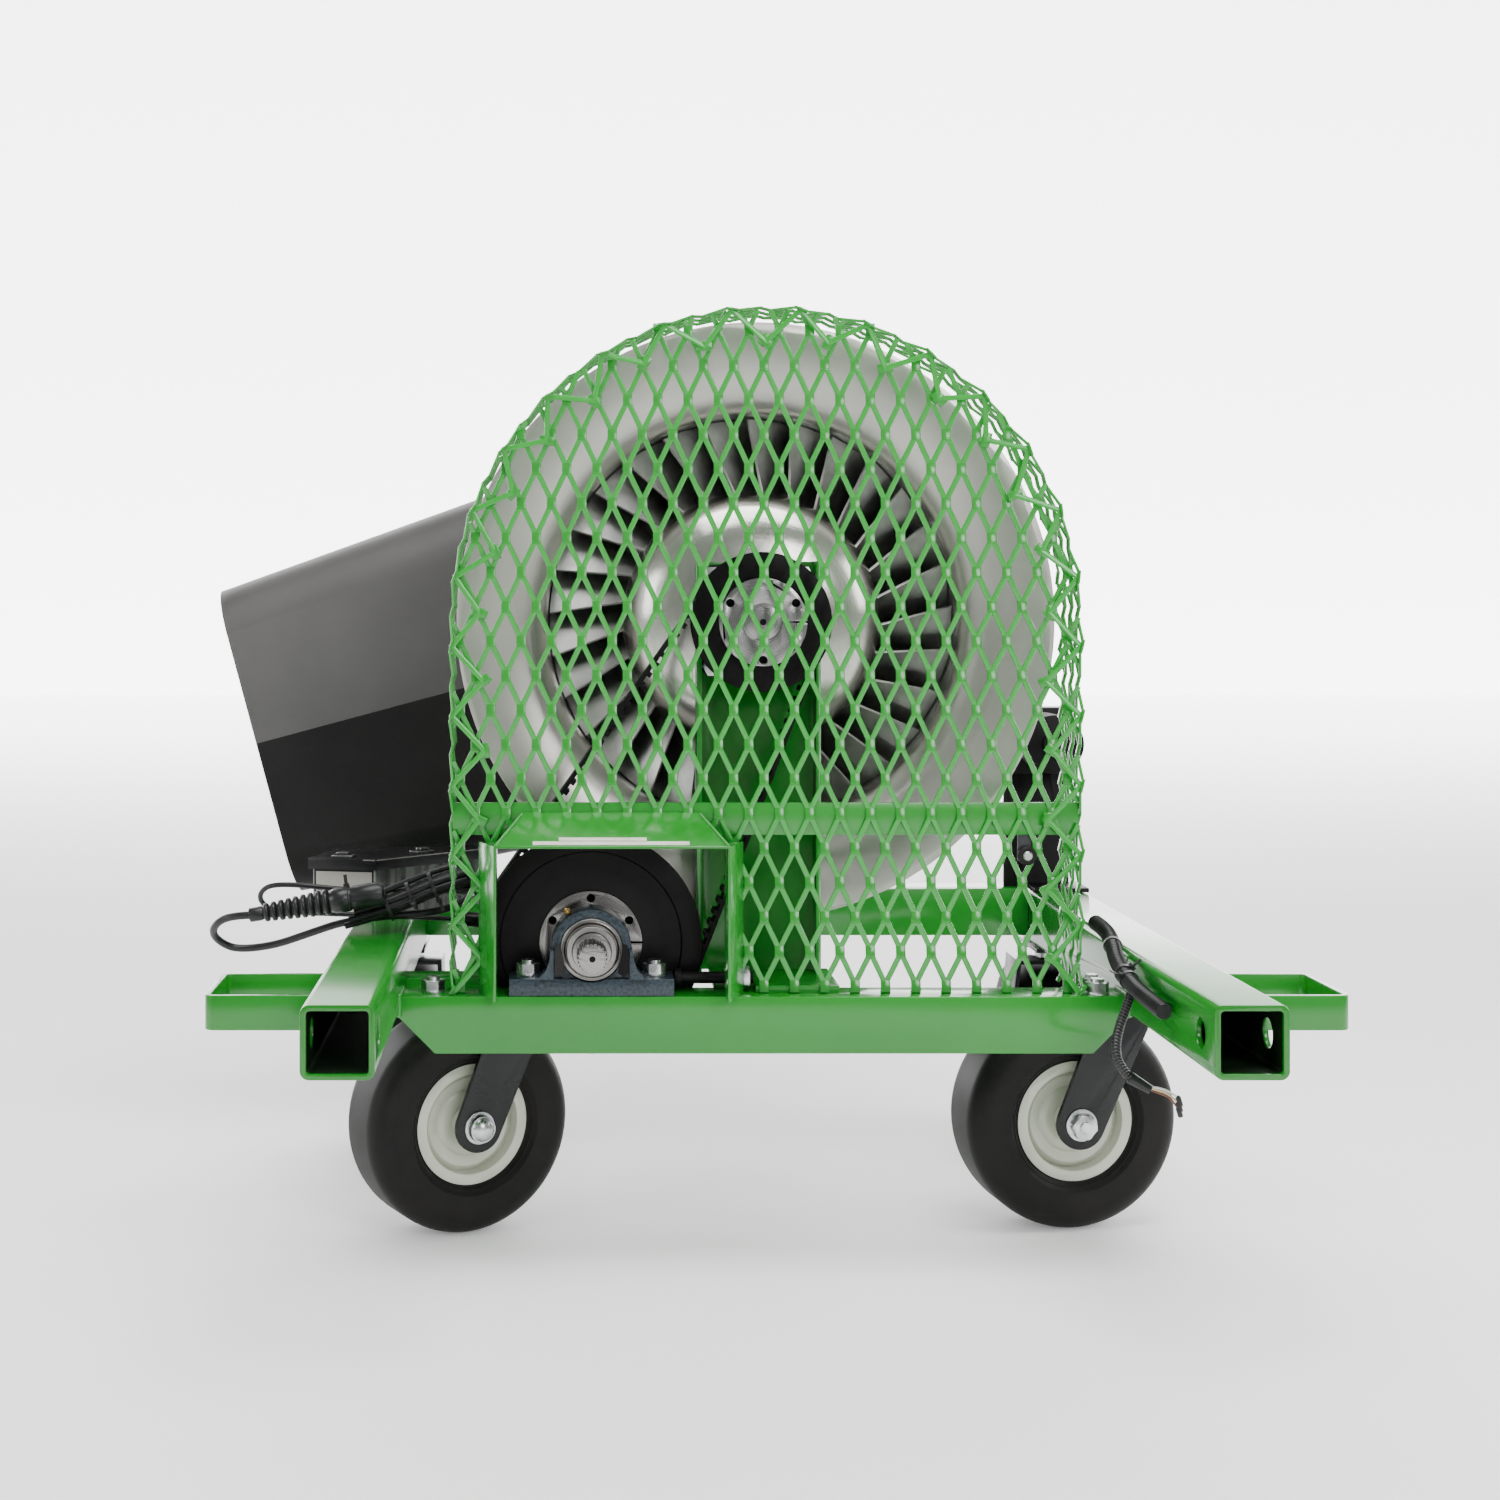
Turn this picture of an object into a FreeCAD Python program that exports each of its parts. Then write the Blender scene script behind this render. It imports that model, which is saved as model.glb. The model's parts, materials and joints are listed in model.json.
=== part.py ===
import FreeCAD, Part
import math
import os

# Towed turbine debris blower, millimetres.
# Working frame: X to the right, Y from the front ends of the side tubes to the rear, Z up from the ground.
# At the end every piece moves so that the origin is at the bottom centre of the whole machine.

# ------------------------------------------------------------------ side tubes and rails
TUBE = 76.2
TUBE_WALL = 6.35
TUBE_CORNER = 9.5
FRAME_WIDTH = 1000.0
FRAME_LENGTH = 896.0
PIN_HOLE_R = 16.0
PIN_HOLE_SETBACK = 48.0
RAIL_DEPTH = 58.0
RAIL_HEIGHT = 66.0
RAIL_WALL = 5.0
RAIL_RISE = 24.0
FRONT_RAIL_SETBACK = 314.0
REAR_RAIL_SETBACK = 4.0
LOOP_REACH = 125.0
LOOP_LENGTH = 135.0
LOOP_START = 165.0
LOOP_BAR = 38.1
LOOP_THICK = 6.35
LOOP_LIFT = 16.0
LOOP_BEND_R = 12.0

# ------------------------------------------------------------------ casters
TYRE_R = 136.5
TYRE_WIDTH = 102.0
TYRE_SHOULDER = 26.0
RIM_R = 75.0
RIM_WIDTH = 84.0
RIM_WALL = 4.0
HUB_R = 22.0
AXLE_R = 8.0
AXLE_FIT = 0.05
AXLE_WASHER_R = 20.0
AXLE_HEAD_R = 16.5
AXLE_NUT = 29.0
CASTER_TRAIL = 62.0
CASTER_SETBACK = 552.0
CASTER_LEFT_X = -310.0
CASTER_RAIL_FRONT = 430.0
CASTER_RAIL_CROSS = 52.0
CASTER_PLATE_X = 76.2
CASTER_PLATE_Y = 112.0
CASTER_PLATE_THICK = 6.0
RACE_HEIGHT = 13.0
RACE_R = 27.0
RACE_GAP = 0.4
YOKE_THICK = 6.0
YOKE_WIDTH = 76.0
YOKE_SIDE_GAP = 4.0
YOKE_TOP_GAP = 6.0
KINGPIN_R = 9.95
KINGPIN_FIT = 0.05
SWIVEL_LEFT_DEG = 28.0
SWIVEL_RIGHT_DEG = 9.0
REAR_CASTER_SETBACK = 58.0

# ------------------------------------------------------------------ cage
CAGE_X = 4.0
CAGE_R = 370.0
CAGE_ARC_HEIGHT = 434.0
CAGE_SHEET = 3.0
CAGE_FRONT = 325.0
CAGE_DEPTH = 105.0
PANEL_SETBACK = 10.0
MESH_SHORT = 35.5
MESH_LONG = 80.8
MESH_STRAND = 5.0
MESH_BORDER = 4.0
CROSSBAR_HEIGHT = 38.0
CROSSBAR_LIFT = 185.0
CROSSBAR_THICK = 6.0

# ------------------------------------------------------------------ power shaft, pillow block and hood
PTO_X = -200.0
PTO_LIFT = 53.0
PTO_R = 17.45
PTO_TEETH = 21
PTO_TOOTH = 2.2
PTO_FRONT = 259.0
PTO_SPLINE_LENGTH = 44.0
BLOCK_LENGTH = 192.0
BLOCK_DEPTH = 54.0
BLOCK_FOOT = 20.0
BLOCK_HOUSING_R = 47.0
BLOCK_SETBACK = 2.0
BLOCK_BOLT_SPAN = 148.0
BEARING_R = 37.0
BEARING_OUTER_WALL = 6.0
BEARING_GAP = 0.4
HOOD_LEFT = -313.0
HOOD_RIGHT = -41.0
HOOD_HEIGHT = 178.0
HOOD_FRONT = 285.0
HOOD_SHEET = 3.0
HOOD_FLARE_TOP = 34.0
HOOD_FLARE_SIDE = 19.0

# ------------------------------------------------------------------ belt drive
BELT_PITCH = 14.0
DRIVE_TEETH = 58
DRIVEN_TEETH = 34
BELT_WIDTH = 34.0
BELT_THICK = 4.5
BELT_GAP = 0.5
PULLEY_FRONT = 376.0
PULLEY_WIDTH = 38.0
GROOVE_DEPTH = 6.0
PITCH_TO_TIP = 1.4
FLANGE_THICK = 1.8
FLANGE_RISE = 9.0
DRIVE_BUSHING_R = 61.0
DRIVEN_BUSHING_R = 52.4
BUSHING_FLANGE = 12.0
BUSHING_BOLT_R = 5.0
BUSHING_SLEEVE_SHARE = 0.72
BUSHING_BOLT_SHARE = 0.86
BUSHING_PROUD = 2.0

# ------------------------------------------------------------------ post and flange bearing
POST_WIDTH = 150.0
POST_TOP_RISE = 73.0
POST_WEB_FRONT = 448.0
POST_WEB = 6.0
POST_FLANGE_DEPTH = 32.0
POST_BASE_THICK = 8.0
POST_BASE_INSET = 16.0
FLANGE_BEARING_SIZE = 140.0
FLANGE_BEARING_DEPTH = 30.0
FLANGE_BEARING_FOOT = 13.0
FLANGE_BEARING_BOLT = 54.0
FLANGE_BEARING_BOSS_R = 48.0

# ------------------------------------------------------------------ turbine
ROTOR_SHAFT_R = 22.2
ROTOR_FIT = 0.05
BLADE_COUNT = 29
HUB_OUTER_R = 161.0
HUB_RING_WALL = 8.0
BLADE_TIP_GAP = 2.5
BLADE_CHORD = 92.0
BLADE_THICK = 4.0
BLADE_FRONT = 524.0
BELL_R = 366.0
BELL_FRONT = 458.0
BELL_DEPTH = 46.0
BELL_SHEET = 3.0
THROAT_R = 256.0
HOUSING_WALL = 4.0
HOUSING_END = 882.0
SADDLE_THICK = 8.0
SADDLE_WIDTH = 420.0
SADDLE_SETBACK = 6.0

# ------------------------------------------------------------------ nozzle and its drive
NOZZLE_TILT_DEG = 15.1
NOZZLE_LENGTH = 705.0
NOZZLE_END_HALF = 229.5
NOZZLE_ROOT_HALF = 287.0
NOZZLE_FRONT = 903.0
NOZZLE_DEPTH = 198.0
NOZZLE_END_DEPTH = 168.0
NOZZLE_WALL = 6.0
COLLAR_R = 282.0
COLLAR_WIDTH = 34.0
COLLAR_GAP = 2.0
MOTOR_X = 440.0
MOTOR_Z = 590.0
MOTOR_R = 40.0
MOTOR_LENGTH = 120.0
MOTOR_HALF = 46.0
MOTOR_PULLEY_R = 30.0
NOZZLE_BELT_WIDTH = 16.0
NOZZLE_BELT_THICK = 4.0

# ------------------------------------------------------------------ control box
BOX_HEIGHT = 72.0
BOX_SHEET = 2.5
LID_HEIGHT = 14.0
LID_OVERHANG = 5.0
LID_GAP = 0.5
BOX_HINGE_R = 4.0

# ------------------------------------------------------------------ cords
CABLE_D = 9.5
SENSOR_D = 6.5
BOOT_D = 27.0
BOOT_LENGTH = 112.0
CONNECTOR_LENGTH = 58.0
LOOM_D = 19.0
LEAD_D = 10.0

# ------------------------------------------------------------------ fasteners
BOLT_R = 8.0
SCREW_R = 7.0
SCREW_NUT_R = 12.0
SCREW_NUT = 10.0
SCREW_HEAD_R = 10.5
SCREW_HEAD = 8.0
LUG_THICK = 10.0
LUG_OFFSET = 8.0
WASHER_R = 14.0
WASHER_THICK = 3.5

# ------------------------------------------------------------------ worked-out sizes
tyre_top = 2 * TYRE_R
plate_bottom = tyre_top + YOKE_TOP_GAP + YOKE_THICK + RACE_HEIGHT
tube_bottom = plate_bottom + CASTER_PLATE_THICK
tube_top = tube_bottom + TUBE
tube_mid = tube_bottom + TUBE / 2
tube_x = FRAME_WIDTH / 2 - TUBE / 2
inner_x = FRAME_WIDTH / 2 - TUBE
rail_top = tube_bottom + RAIL_RISE
rail_bottom = rail_top - RAIL_HEIGHT
rail_front = FRONT_RAIL_SETBACK
rail_back = rail_front + RAIL_DEPTH
rear_rail_back = FRAME_LENGTH - REAR_RAIL_SETBACK
rear_rail_front = rear_rail_back - RAIL_DEPTH
axis_z = rail_top + CAGE_ARC_HEIGHT
pto_z = rail_top + PTO_LIFT
panel_front = CAGE_FRONT + PANEL_SETBACK
cage_inner_r = CAGE_R - CAGE_SHEET
drive_pitch_r = DRIVE_TEETH * BELT_PITCH / (2 * math.pi)
driven_pitch_r = DRIVEN_TEETH * BELT_PITCH / (2 * math.pi)
pulley_back = PULLEY_FRONT + PULLEY_WIDTH
post_front = POST_WEB_FRONT - POST_FLANGE_DEPTH
housing_front = BELL_FRONT + BELL_DEPTH
blade_tip_r = THROAT_R - BLADE_TIP_GAP
collar_bore_r = THROAT_R + HOUSING_WALL + COLLAR_GAP
collar_front = NOZZLE_FRONT - COLLAR_WIDTH
yoke_inner = TYRE_WIDTH / 2 + YOKE_SIDE_GAP
yoke_outer = yoke_inner + YOKE_THICK
rear_caster_y = FRAME_LENGTH - REAR_CASTER_SETBACK
panel_back = panel_front + CAGE_SHEET
screw_x0 = PTO_X + BLOCK_LENGTH / 2 + 2
screw_x1 = HOOD_RIGHT + 32
screw_y = panel_back + SCREW_NUT_R + 2
screw_z = rail_top + SCREW_HEAD_R + 5
screw_back = screw_y + SCREW_NUT_R + 2
lug_x = HOOD_RIGHT + LUG_OFFSET

V = FreeCAD.Vector
X_AXIS = V(1, 0, 0)
Y_AXIS = V(0, 1, 0)
Z_AXIS = V(0, 0, 1)
pieces = {}


# ------------------------------------------------------------------ plain shapes
def block(x0, x1, y0, y1, z0, z1):
    return Part.makeBox(x1 - x0, y1 - y0, z1 - z0, V(x0, y0, z0))


def rod_y(radius, y0, y1, x, z):
    return Part.makeCylinder(radius, y1 - y0, V(x, y0, z), Y_AXIS)


def rod_z(radius, z0, z1, x, y):
    return Part.makeCylinder(radius, z1 - z0, V(x, y, z0), Z_AXIS)


def ring_y(outer, inner, y0, y1, x, z):
    return rod_y(outer, y0, y1, x, z).cut(rod_y(inner, y0 - 1, y1 + 1, x, z))


def prism_y(points, y0, y1):
    """Closed outline of (x, z) points, extruded along Y."""
    loop = [V(x, y0, z) for x, z in points]
    return Part.Face(Part.makePolygon(loop + loop[:1])).extrude(V(0, y1 - y0, 0))


def prism_z(points, z0, z1):
    loop = [V(x, y, z0) for x, y in points]
    return Part.Face(Part.makePolygon(loop + loop[:1])).extrude(V(0, 0, z1 - z0))


def lathe_y(profile, x, z):
    """Closed outline of (radius, y) points, turned about the Y line through x, z."""
    loop = [V(x + r, y, z) for r, y in profile]
    face = Part.Face(Part.makePolygon(loop + loop[:1]))
    return face.revolve(V(x, 0, z), Y_AXIS, 360)


def hex_y(flats, y0, y1, x, z):
    radius = flats / math.sqrt(3)
    corners = [(x + radius * math.cos(math.radians(60 * k)), z + radius * math.sin(math.radians(60 * k)))
               for k in range(6)]
    return prism_y(corners, y0, y1)


def hex_z(flats, z0, z1, x, y):
    radius = flats / math.sqrt(3)
    corners = [(x + radius * math.cos(math.radians(60 * k)), y + radius * math.sin(math.radians(60 * k)))
               for k in range(6)]
    return prism_z(corners, z0, z1)


def rounded_rect(x0, x1, z0, z1, radius, y):
    """Wire of a rectangle with round corners in the plane at y."""
    near = radius * (1 - math.sqrt(0.5))
    edges = [
        Part.makeLine(V(x0 + radius, y, z0), V(x1 - radius, y, z0)),
        Part.Arc(V(x1 - radius, y, z0), V(x1 - near, y, z0 + near), V(x1, y, z0 + radius)).toShape(),
        Part.makeLine(V(x1, y, z0 + radius), V(x1, y, z1 - radius)),
        Part.Arc(V(x1, y, z1 - radius), V(x1 - near, y, z1 - near), V(x1 - radius, y, z1)).toShape(),
        Part.makeLine(V(x1 - radius, y, z1), V(x0 + radius, y, z1)),
        Part.Arc(V(x0 + radius, y, z1), V(x0 + near, y, z1 - near), V(x0, y, z1 - radius)).toShape(),
        Part.makeLine(V(x0, y, z1 - radius), V(x0, y, z0 + radius)),
        Part.Arc(V(x0, y, z0 + radius), V(x0 + near, y, z0 + near), V(x0 + radius, y, z0)).toShape(),
    ]
    return Part.Wire(edges)


def rounded_bar(x0, x1, z0, z1, radius, y0, y1):
    return Part.Face(rounded_rect(x0, x1, z0, z1, radius, y0)).extrude(V(0, y1 - y0, 0))


def turned(shape, degrees, x, y):
    copy = shape.copy()
    copy.rotate(V(x, y, 0), Z_AXIS, degrees)
    return copy


def group(shapes):
    return Part.makeCompound(shapes)


# ------------------------------------------------------------------ frame
def side_tube(x):
    half = TUBE / 2
    outer = rounded_bar(x - half, x + half, tube_bottom, tube_top, TUBE_CORNER, 0, FRAME_LENGTH)
    bore = half - TUBE_WALL
    inner = rounded_bar(x - bore, x + bore, tube_mid - bore, tube_mid + bore, TUBE_CORNER - TUBE_WALL + 1,
                        -1, FRAME_LENGTH + 1)
    pin_hole = Part.makeCylinder(PIN_HOLE_R, TUBE + 20, V(x - half - 10, PIN_HOLE_SETBACK, tube_mid), X_AXIS)
    return outer.cut(inner).cut(pin_hole)


def cross_rail(y0, y1):
    """Rectangular tube between the side tubes, its ends mitred below them."""
    drop = tube_bottom - rail_bottom
    outline = [(-inner_x, tube_bottom), (-inner_x + drop, rail_bottom), (inner_x - drop, rail_bottom),
               (inner_x, tube_bottom), (inner_x, rail_top), (-inner_x, rail_top)]
    end = inner_x - RAIL_WALL
    low = rail_bottom + RAIL_WALL
    mitre = drop + RAIL_WALL * (math.sqrt(2) - 1)
    hollow = [(-end, low + mitre), (-end + mitre, low), (end - mitre, low), (end, low + mitre),
              (end, rail_top - RAIL_WALL), (-end, rail_top - RAIL_WALL)]
    core = prism_y(hollow, y0 + RAIL_WALL, y1 - RAIL_WALL)
    return prism_y(outline, y0, y1).cut(core)


def rear_cross_rail():
    """Rectangular tube level with the side tubes' tops, above the fixed yokes."""
    low = tube_top - RAIL_HEIGHT
    outer = block(-inner_x, inner_x, rear_rail_front, rear_rail_back, low, tube_top)
    return outer.cut(block(-inner_x + RAIL_WALL, inner_x - RAIL_WALL, rear_rail_front + RAIL_WALL,
                           rear_rail_back - RAIL_WALL, low + RAIL_WALL, tube_top - RAIL_WALL))


def caster_rail():
    """Flat bar under the turbine that carries the left caster, tied to the left tube by a short cross bar."""
    half = CASTER_PLATE_X / 2
    bar = block(CASTER_LEFT_X - half, CASTER_LEFT_X + half, CASTER_RAIL_FRONT, rear_rail_front, tube_bottom, rail_top)
    cross = block(-inner_x, CASTER_LEFT_X, CASTER_RAIL_FRONT, CASTER_RAIL_FRONT + CASTER_RAIL_CROSS,
                  tube_bottom, rail_top)
    return bar.fuse(cross).removeSplitter()


def tie_loop(side):
    """Flat bar bent into a U and welded to the outside of a side tube."""
    near = FRAME_WIDTH / 2
    far = near + LOOP_REACH
    z0 = tube_bottom + LOOP_LIFT
    outer = block(near, far, LOOP_START, LOOP_START + LOOP_LENGTH, z0, z0 + LOOP_BAR)
    corners = [e for e in outer.Edges
               if abs(e.Vertexes[0].X - far) < 0.1 and abs(e.Vertexes[1].X - far) < 0.1
               and abs(e.Vertexes[0].Z - e.Vertexes[1].Z) > 1]
    outer = outer.makeFillet(LOOP_BEND_R, corners)
    inner = block(near - 1, far - LOOP_THICK, LOOP_START + LOOP_THICK, LOOP_START + LOOP_LENGTH - LOOP_THICK,
                  z0 - 1, z0 + LOOP_BAR + 1)
    corners = [e for e in inner.Edges
               if abs(e.Vertexes[0].X - far + LOOP_THICK) < 0.1 and abs(e.Vertexes[1].X - far + LOOP_THICK) < 0.1
               and abs(e.Vertexes[0].Z - e.Vertexes[1].Z) > 1]
    inner = inner.makeFillet(LOOP_BEND_R - LOOP_THICK, corners)
    loop = outer.cut(inner)
    if side < 0:
        loop = loop.mirror(V(0, 0, 0), X_AXIS)
    return loop


pieces["side_tube_left"] = side_tube(-tube_x)
pieces["side_tube_right"] = side_tube(tube_x)
pieces["front_rail"] = cross_rail(rail_front, rail_back)
pieces["rear_rail"] = rear_cross_rail()
pieces["caster_rail"] = caster_rail()
pieces["tie_loops"] = group([tie_loop(-1), tie_loop(1)])


# ------------------------------------------------------------------ casters and wheels
def caster_plate(x, y):
    """Top plate with the fixed half of the swivel race, bored for the kingpin."""
    half_x = CASTER_PLATE_X / 2
    half_y = CASTER_PLATE_Y / 2
    plate = block(x - half_x, x + half_x, y - half_y, y + half_y, plate_bottom, tube_bottom)
    race = rod_z(RACE_R, plate_bottom - RACE_HEIGHT / 2, plate_bottom, x, y)
    bore = rod_z(KINGPIN_R + KINGPIN_FIT, plate_bottom - RACE_HEIGHT, tube_bottom + 1, x, y)
    return plate.fuse(race).cut(bore)


def yoke_leg(x, y, side):
    """Slanted flat leg from the crown to the axle, with a round foot."""
    y0 = y + yoke_inner if side > 0 else y - yoke_outer
    half = YOKE_WIDTH / 2
    axle_x = x - CASTER_TRAIL
    crown_bottom = tyre_top + YOKE_TOP_GAP
    reach = math.hypot(CASTER_TRAIL, crown_bottom - TYRE_R)
    foot_r = half * 0.82
    nx = (crown_bottom - TYRE_R) / reach * foot_r
    nz = -CASTER_TRAIL / reach * foot_r
    outline = [(x - half, crown_bottom + YOKE_THICK), (x - half, crown_bottom), (axle_x - nx, TYRE_R - nz),
               (axle_x + nx, TYRE_R + nz), (x + half, crown_bottom), (x + half, crown_bottom + YOKE_THICK)]
    leg = prism_y(outline, y0, y0 + YOKE_THICK)
    foot = rod_y(foot_r, y0, y0 + YOKE_THICK, axle_x, TYRE_R)
    return leg.fuse(foot).removeSplitter()


def caster_yoke(x, y, rigid):
    """Pressed steel fork with its race and kingpin; the trail points to -X."""
    half = YOKE_WIDTH / 2
    crown_bottom = tyre_top + YOKE_TOP_GAP
    crown = block(x - half, x + half, y - yoke_outer, y + yoke_outer, crown_bottom, crown_bottom + YOKE_THICK)
    race_top = plate_bottom - RACE_HEIGHT / 2
    if not rigid:
        race_top -= RACE_GAP
    race = rod_z(RACE_R, crown_bottom + YOKE_THICK, race_top, x, y)
    kingpin = rod_z(KINGPIN_R, race_top, tube_bottom - 1, x, y)
    fork = crown.fuse([yoke_leg(x, y, 1), yoke_leg(x, y, -1), race, kingpin])
    hole = rod_y(AXLE_R, y - yoke_outer - 1, y + yoke_outer + 1, x - CASTER_TRAIL, TYRE_R)
    return fork.cut(hole).removeSplitter()


def axle(x, y, nut_in_front):
    """Bolt through the fork: a round head on one side, a washer and a nut on the other."""
    shank = rod_y(AXLE_R, y - yoke_outer - 8, y + yoke_outer + 8, x, TYRE_R)
    washers = [rod_y(AXLE_WASHER_R, y - yoke_outer - 2.5, y - yoke_outer, x, TYRE_R),
               rod_y(AXLE_WASHER_R, y + yoke_outer, y + yoke_outer + 2.5, x, TYRE_R)]
    ends = [(y - yoke_outer - 12, y - yoke_outer - 2.5), (y + yoke_outer + 2.5, y + yoke_outer + 12)]
    nut_end, head_end = ends if nut_in_front else ends[::-1]
    nut = hex_y(AXLE_NUT, *nut_end, x, TYRE_R)
    head = rod_y(AXLE_HEAD_R, *head_end, x, TYRE_R)
    return shank.fuse(washers + [head, nut]).removeSplitter()


def rim(x, y):
    """Pressed rim: barrel with rolled lips, dished disc and hub tube on the axle."""
    bore = AXLE_R + AXLE_FIT
    half = RIM_WIDTH / 2
    barrel_r = RIM_R - 9
    hub_half = yoke_inner - 1
    barrel = lathe_y([(barrel_r - RIM_WALL, y - half), (RIM_R, y - half), (RIM_R, y - half + RIM_WALL),
                      (barrel_r, y - half + RIM_WALL), (barrel_r, y + half - RIM_WALL),
                      (RIM_R, y + half - RIM_WALL), (RIM_R, y + half), (barrel_r - RIM_WALL, y + half)], x, TYRE_R)
    disc = lathe_y([(HUB_R - 2, y - 22), (barrel_r - 12, y - 30), (barrel_r - RIM_WALL + 1, y - 22),
                    (barrel_r - RIM_WALL + 1, y - 18), (barrel_r - 13, y - 26), (HUB_R - 2, y - 18)], x, TYRE_R)
    hub = rod_y(HUB_R, y - hub_half, y + hub_half, x, TYRE_R)
    solid = barrel.fuse([disc, hub])
    return solid.cut(rod_y(bore, y - hub_half - 1, y + hub_half + 1, x, TYRE_R)).removeSplitter()


def tyre(x, y):
    """Flat-free tyre: a solid ring that fills the rim between its lips."""
    half = TYRE_WIDTH / 2
    rim_half = RIM_WIDTH / 2
    barrel_r = RIM_R - 9
    shoulder_z = math.sqrt(0.5) * TYRE_SHOULDER
    p = [V(x + barrel_r, y - rim_half + RIM_WALL, TYRE_R), V(x + RIM_R, y - rim_half + RIM_WALL, TYRE_R),
         V(x + RIM_R, y - rim_half, TYRE_R), V(x + RIM_R + 2, y - rim_half, TYRE_R),
         V(x + RIM_R + 12, y - half, TYRE_R), V(x + TYRE_R - TYRE_SHOULDER, y - half, TYRE_R),
         V(x + TYRE_R - TYRE_SHOULDER + shoulder_z, y - half + TYRE_SHOULDER - shoulder_z, TYRE_R),
         V(x + TYRE_R, y - half + TYRE_SHOULDER, TYRE_R), V(x + TYRE_R, y + half - TYRE_SHOULDER, TYRE_R),
         V(x + TYRE_R - TYRE_SHOULDER + shoulder_z, y + half - TYRE_SHOULDER + shoulder_z, TYRE_R),
         V(x + TYRE_R - TYRE_SHOULDER, y + half, TYRE_R), V(x + RIM_R + 12, y + half, TYRE_R),
         V(x + RIM_R + 2, y + rim_half, TYRE_R), V(x + RIM_R, y + rim_half, TYRE_R),
         V(x + RIM_R, y + rim_half - RIM_WALL, TYRE_R), V(x + barrel_r, y + rim_half - RIM_WALL, TYRE_R)]
    edges = [Part.makeLine(p[k], p[k + 1]) for k in range(5)]
    edges.append(Part.Arc(p[5], p[6], p[7]).toShape())
    edges.append(Part.makeLine(p[7], p[8]))
    edges.append(Part.Arc(p[8], p[9], p[10]).toShape())
    edges.extend(Part.makeLine(p[k], p[k + 1]) for k in range(10, 15))
    edges.append(Part.makeLine(p[15], p[0]))
    return Part.Face(Part.Wire(edges)).revolve(V(x, 0, TYRE_R), Y_AXIS, 360)


def caster_bolts(x, y):
    bolts = []
    for dx in (-CASTER_PLATE_X / 2 + 11, CASTER_PLATE_X / 2 - 11):
        for dy in (-CASTER_PLATE_Y / 2 + 13, CASTER_PLATE_Y / 2 - 13):
            bolts.append(hex_z(14, plate_bottom - 7, plate_bottom, x + dx, y + dy))
    return bolts


casters = [("front_left", CASTER_LEFT_X, CASTER_SETBACK, SWIVEL_LEFT_DEG, False),
           ("front_right", tube_x, CASTER_SETBACK, SWIVEL_RIGHT_DEG, False),
           ("rear_left", -tube_x, rear_caster_y, -90.0, True),
           ("rear_right", tube_x, rear_caster_y, -90.0, True)]
plate_bolts = []
plates = []
rear_yokes = []
rear_axles = []
for name, x, y, degrees, rigid in casters:
    axle_x = x - CASTER_TRAIL
    yoke = turned(caster_yoke(x, y, rigid), degrees, x, y)
    bolt = turned(axle(axle_x, y, name == "front_right"), degrees, x, y)
    if rigid:
        rear_yokes.append(yoke)
        rear_axles.append(bolt)
    else:
        pieces["caster_yoke_" + name] = yoke
        pieces["axle_bolt_" + name] = bolt
    pieces["rim_" + name] = turned(rim(axle_x, y), degrees, x, y)
    pieces["tyre_" + name] = turned(tyre(axle_x, y), degrees, x, y)
    plates.append(caster_plate(x, y))
    plate_bolts += caster_bolts(x, y)
pieces["caster_plates"] = group(plates)
pieces["rear_caster_yokes"] = group(rear_yokes)
pieces["rear_axle_bolts"] = group(rear_axles)


# ------------------------------------------------------------------ cage of expanded metal
def cage_outline(radius, y):
    """Closed D outline standing on the rail: two uprights and a half circle."""
    left = CAGE_X - radius
    right = CAGE_X + radius
    edges = [Part.makeLine(V(left, y, rail_top), V(right, y, rail_top)),
             Part.makeLine(V(right, y, rail_top), V(right, y, axis_z)),
             Part.Arc(V(right, y, axis_z), V(CAGE_X, y, axis_z + radius), V(left, y, axis_z)).toShape(),
             Part.makeLine(V(left, y, axis_z), V(left, y, rail_top))]
    return Part.Face(Part.Wire(edges))


def inside_cage(x, z, radius):
    """Distance by which a point lies inside the D outline, negative outside."""
    if z > axis_z:
        return radius - math.hypot(x - CAGE_X, z - axis_z)
    return min(radius - abs(x - CAGE_X), z - rail_top)


def clip_to_cage(points, radius):
    """Part of a small outline that lies inside the D outline, pulled in along its own edges."""
    kept = []
    for k, (x, z) in enumerate(points):
        nx, nz = points[(k + 1) % len(points)]
        here = inside_cage(x, z, radius)
        there = inside_cage(nx, nz, radius)
        if here > 0:
            kept.append((x, z))
        if here * there < 0:
            low, high = 0.0, 1.0
            for step in range(24):
                mid = (low + high) / 2
                value = inside_cage(x + (nx - x) * mid, z + (nz - z) * mid, radius)
                if value * here > 0:
                    low = mid
                else:
                    high = mid
            kept.append((x + (nx - x) * low, z + (nz - z) * low))
    return kept


def outline_area(points):
    total = 0.0
    for k, (x, z) in enumerate(points):
        nx, nz = points[(k + 1) % len(points)]
        total += x * nz - nx * z
    return abs(total) / 2


def mesh_holes(radius):
    """Diamond openings of the front panel, long way up."""
    half_x = (MESH_SHORT - MESH_STRAND * 1.08) / 2
    half_z = half_x * MESH_LONG / MESH_SHORT
    holes = []
    columns = int(2 * radius / MESH_SHORT) + 2
    rows = int((axis_z + radius - rail_top) / MESH_LONG) + 2
    for i in range(-columns, columns + 1):
        for j in range(-1, rows + 1):
            cx = CAGE_X + i * MESH_SHORT / 2
            cz = rail_top + (j + (i % 2) / 2.0) * MESH_LONG
            diamond = [(cx - half_x, cz), (cx, cz - half_z), (cx + half_x, cz), (cx, cz + half_z)]
            kept = clip_to_cage(diamond, radius)
            if len(kept) > 2 and outline_area(kept) > 30:
                holes.append(kept)
    return holes


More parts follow.
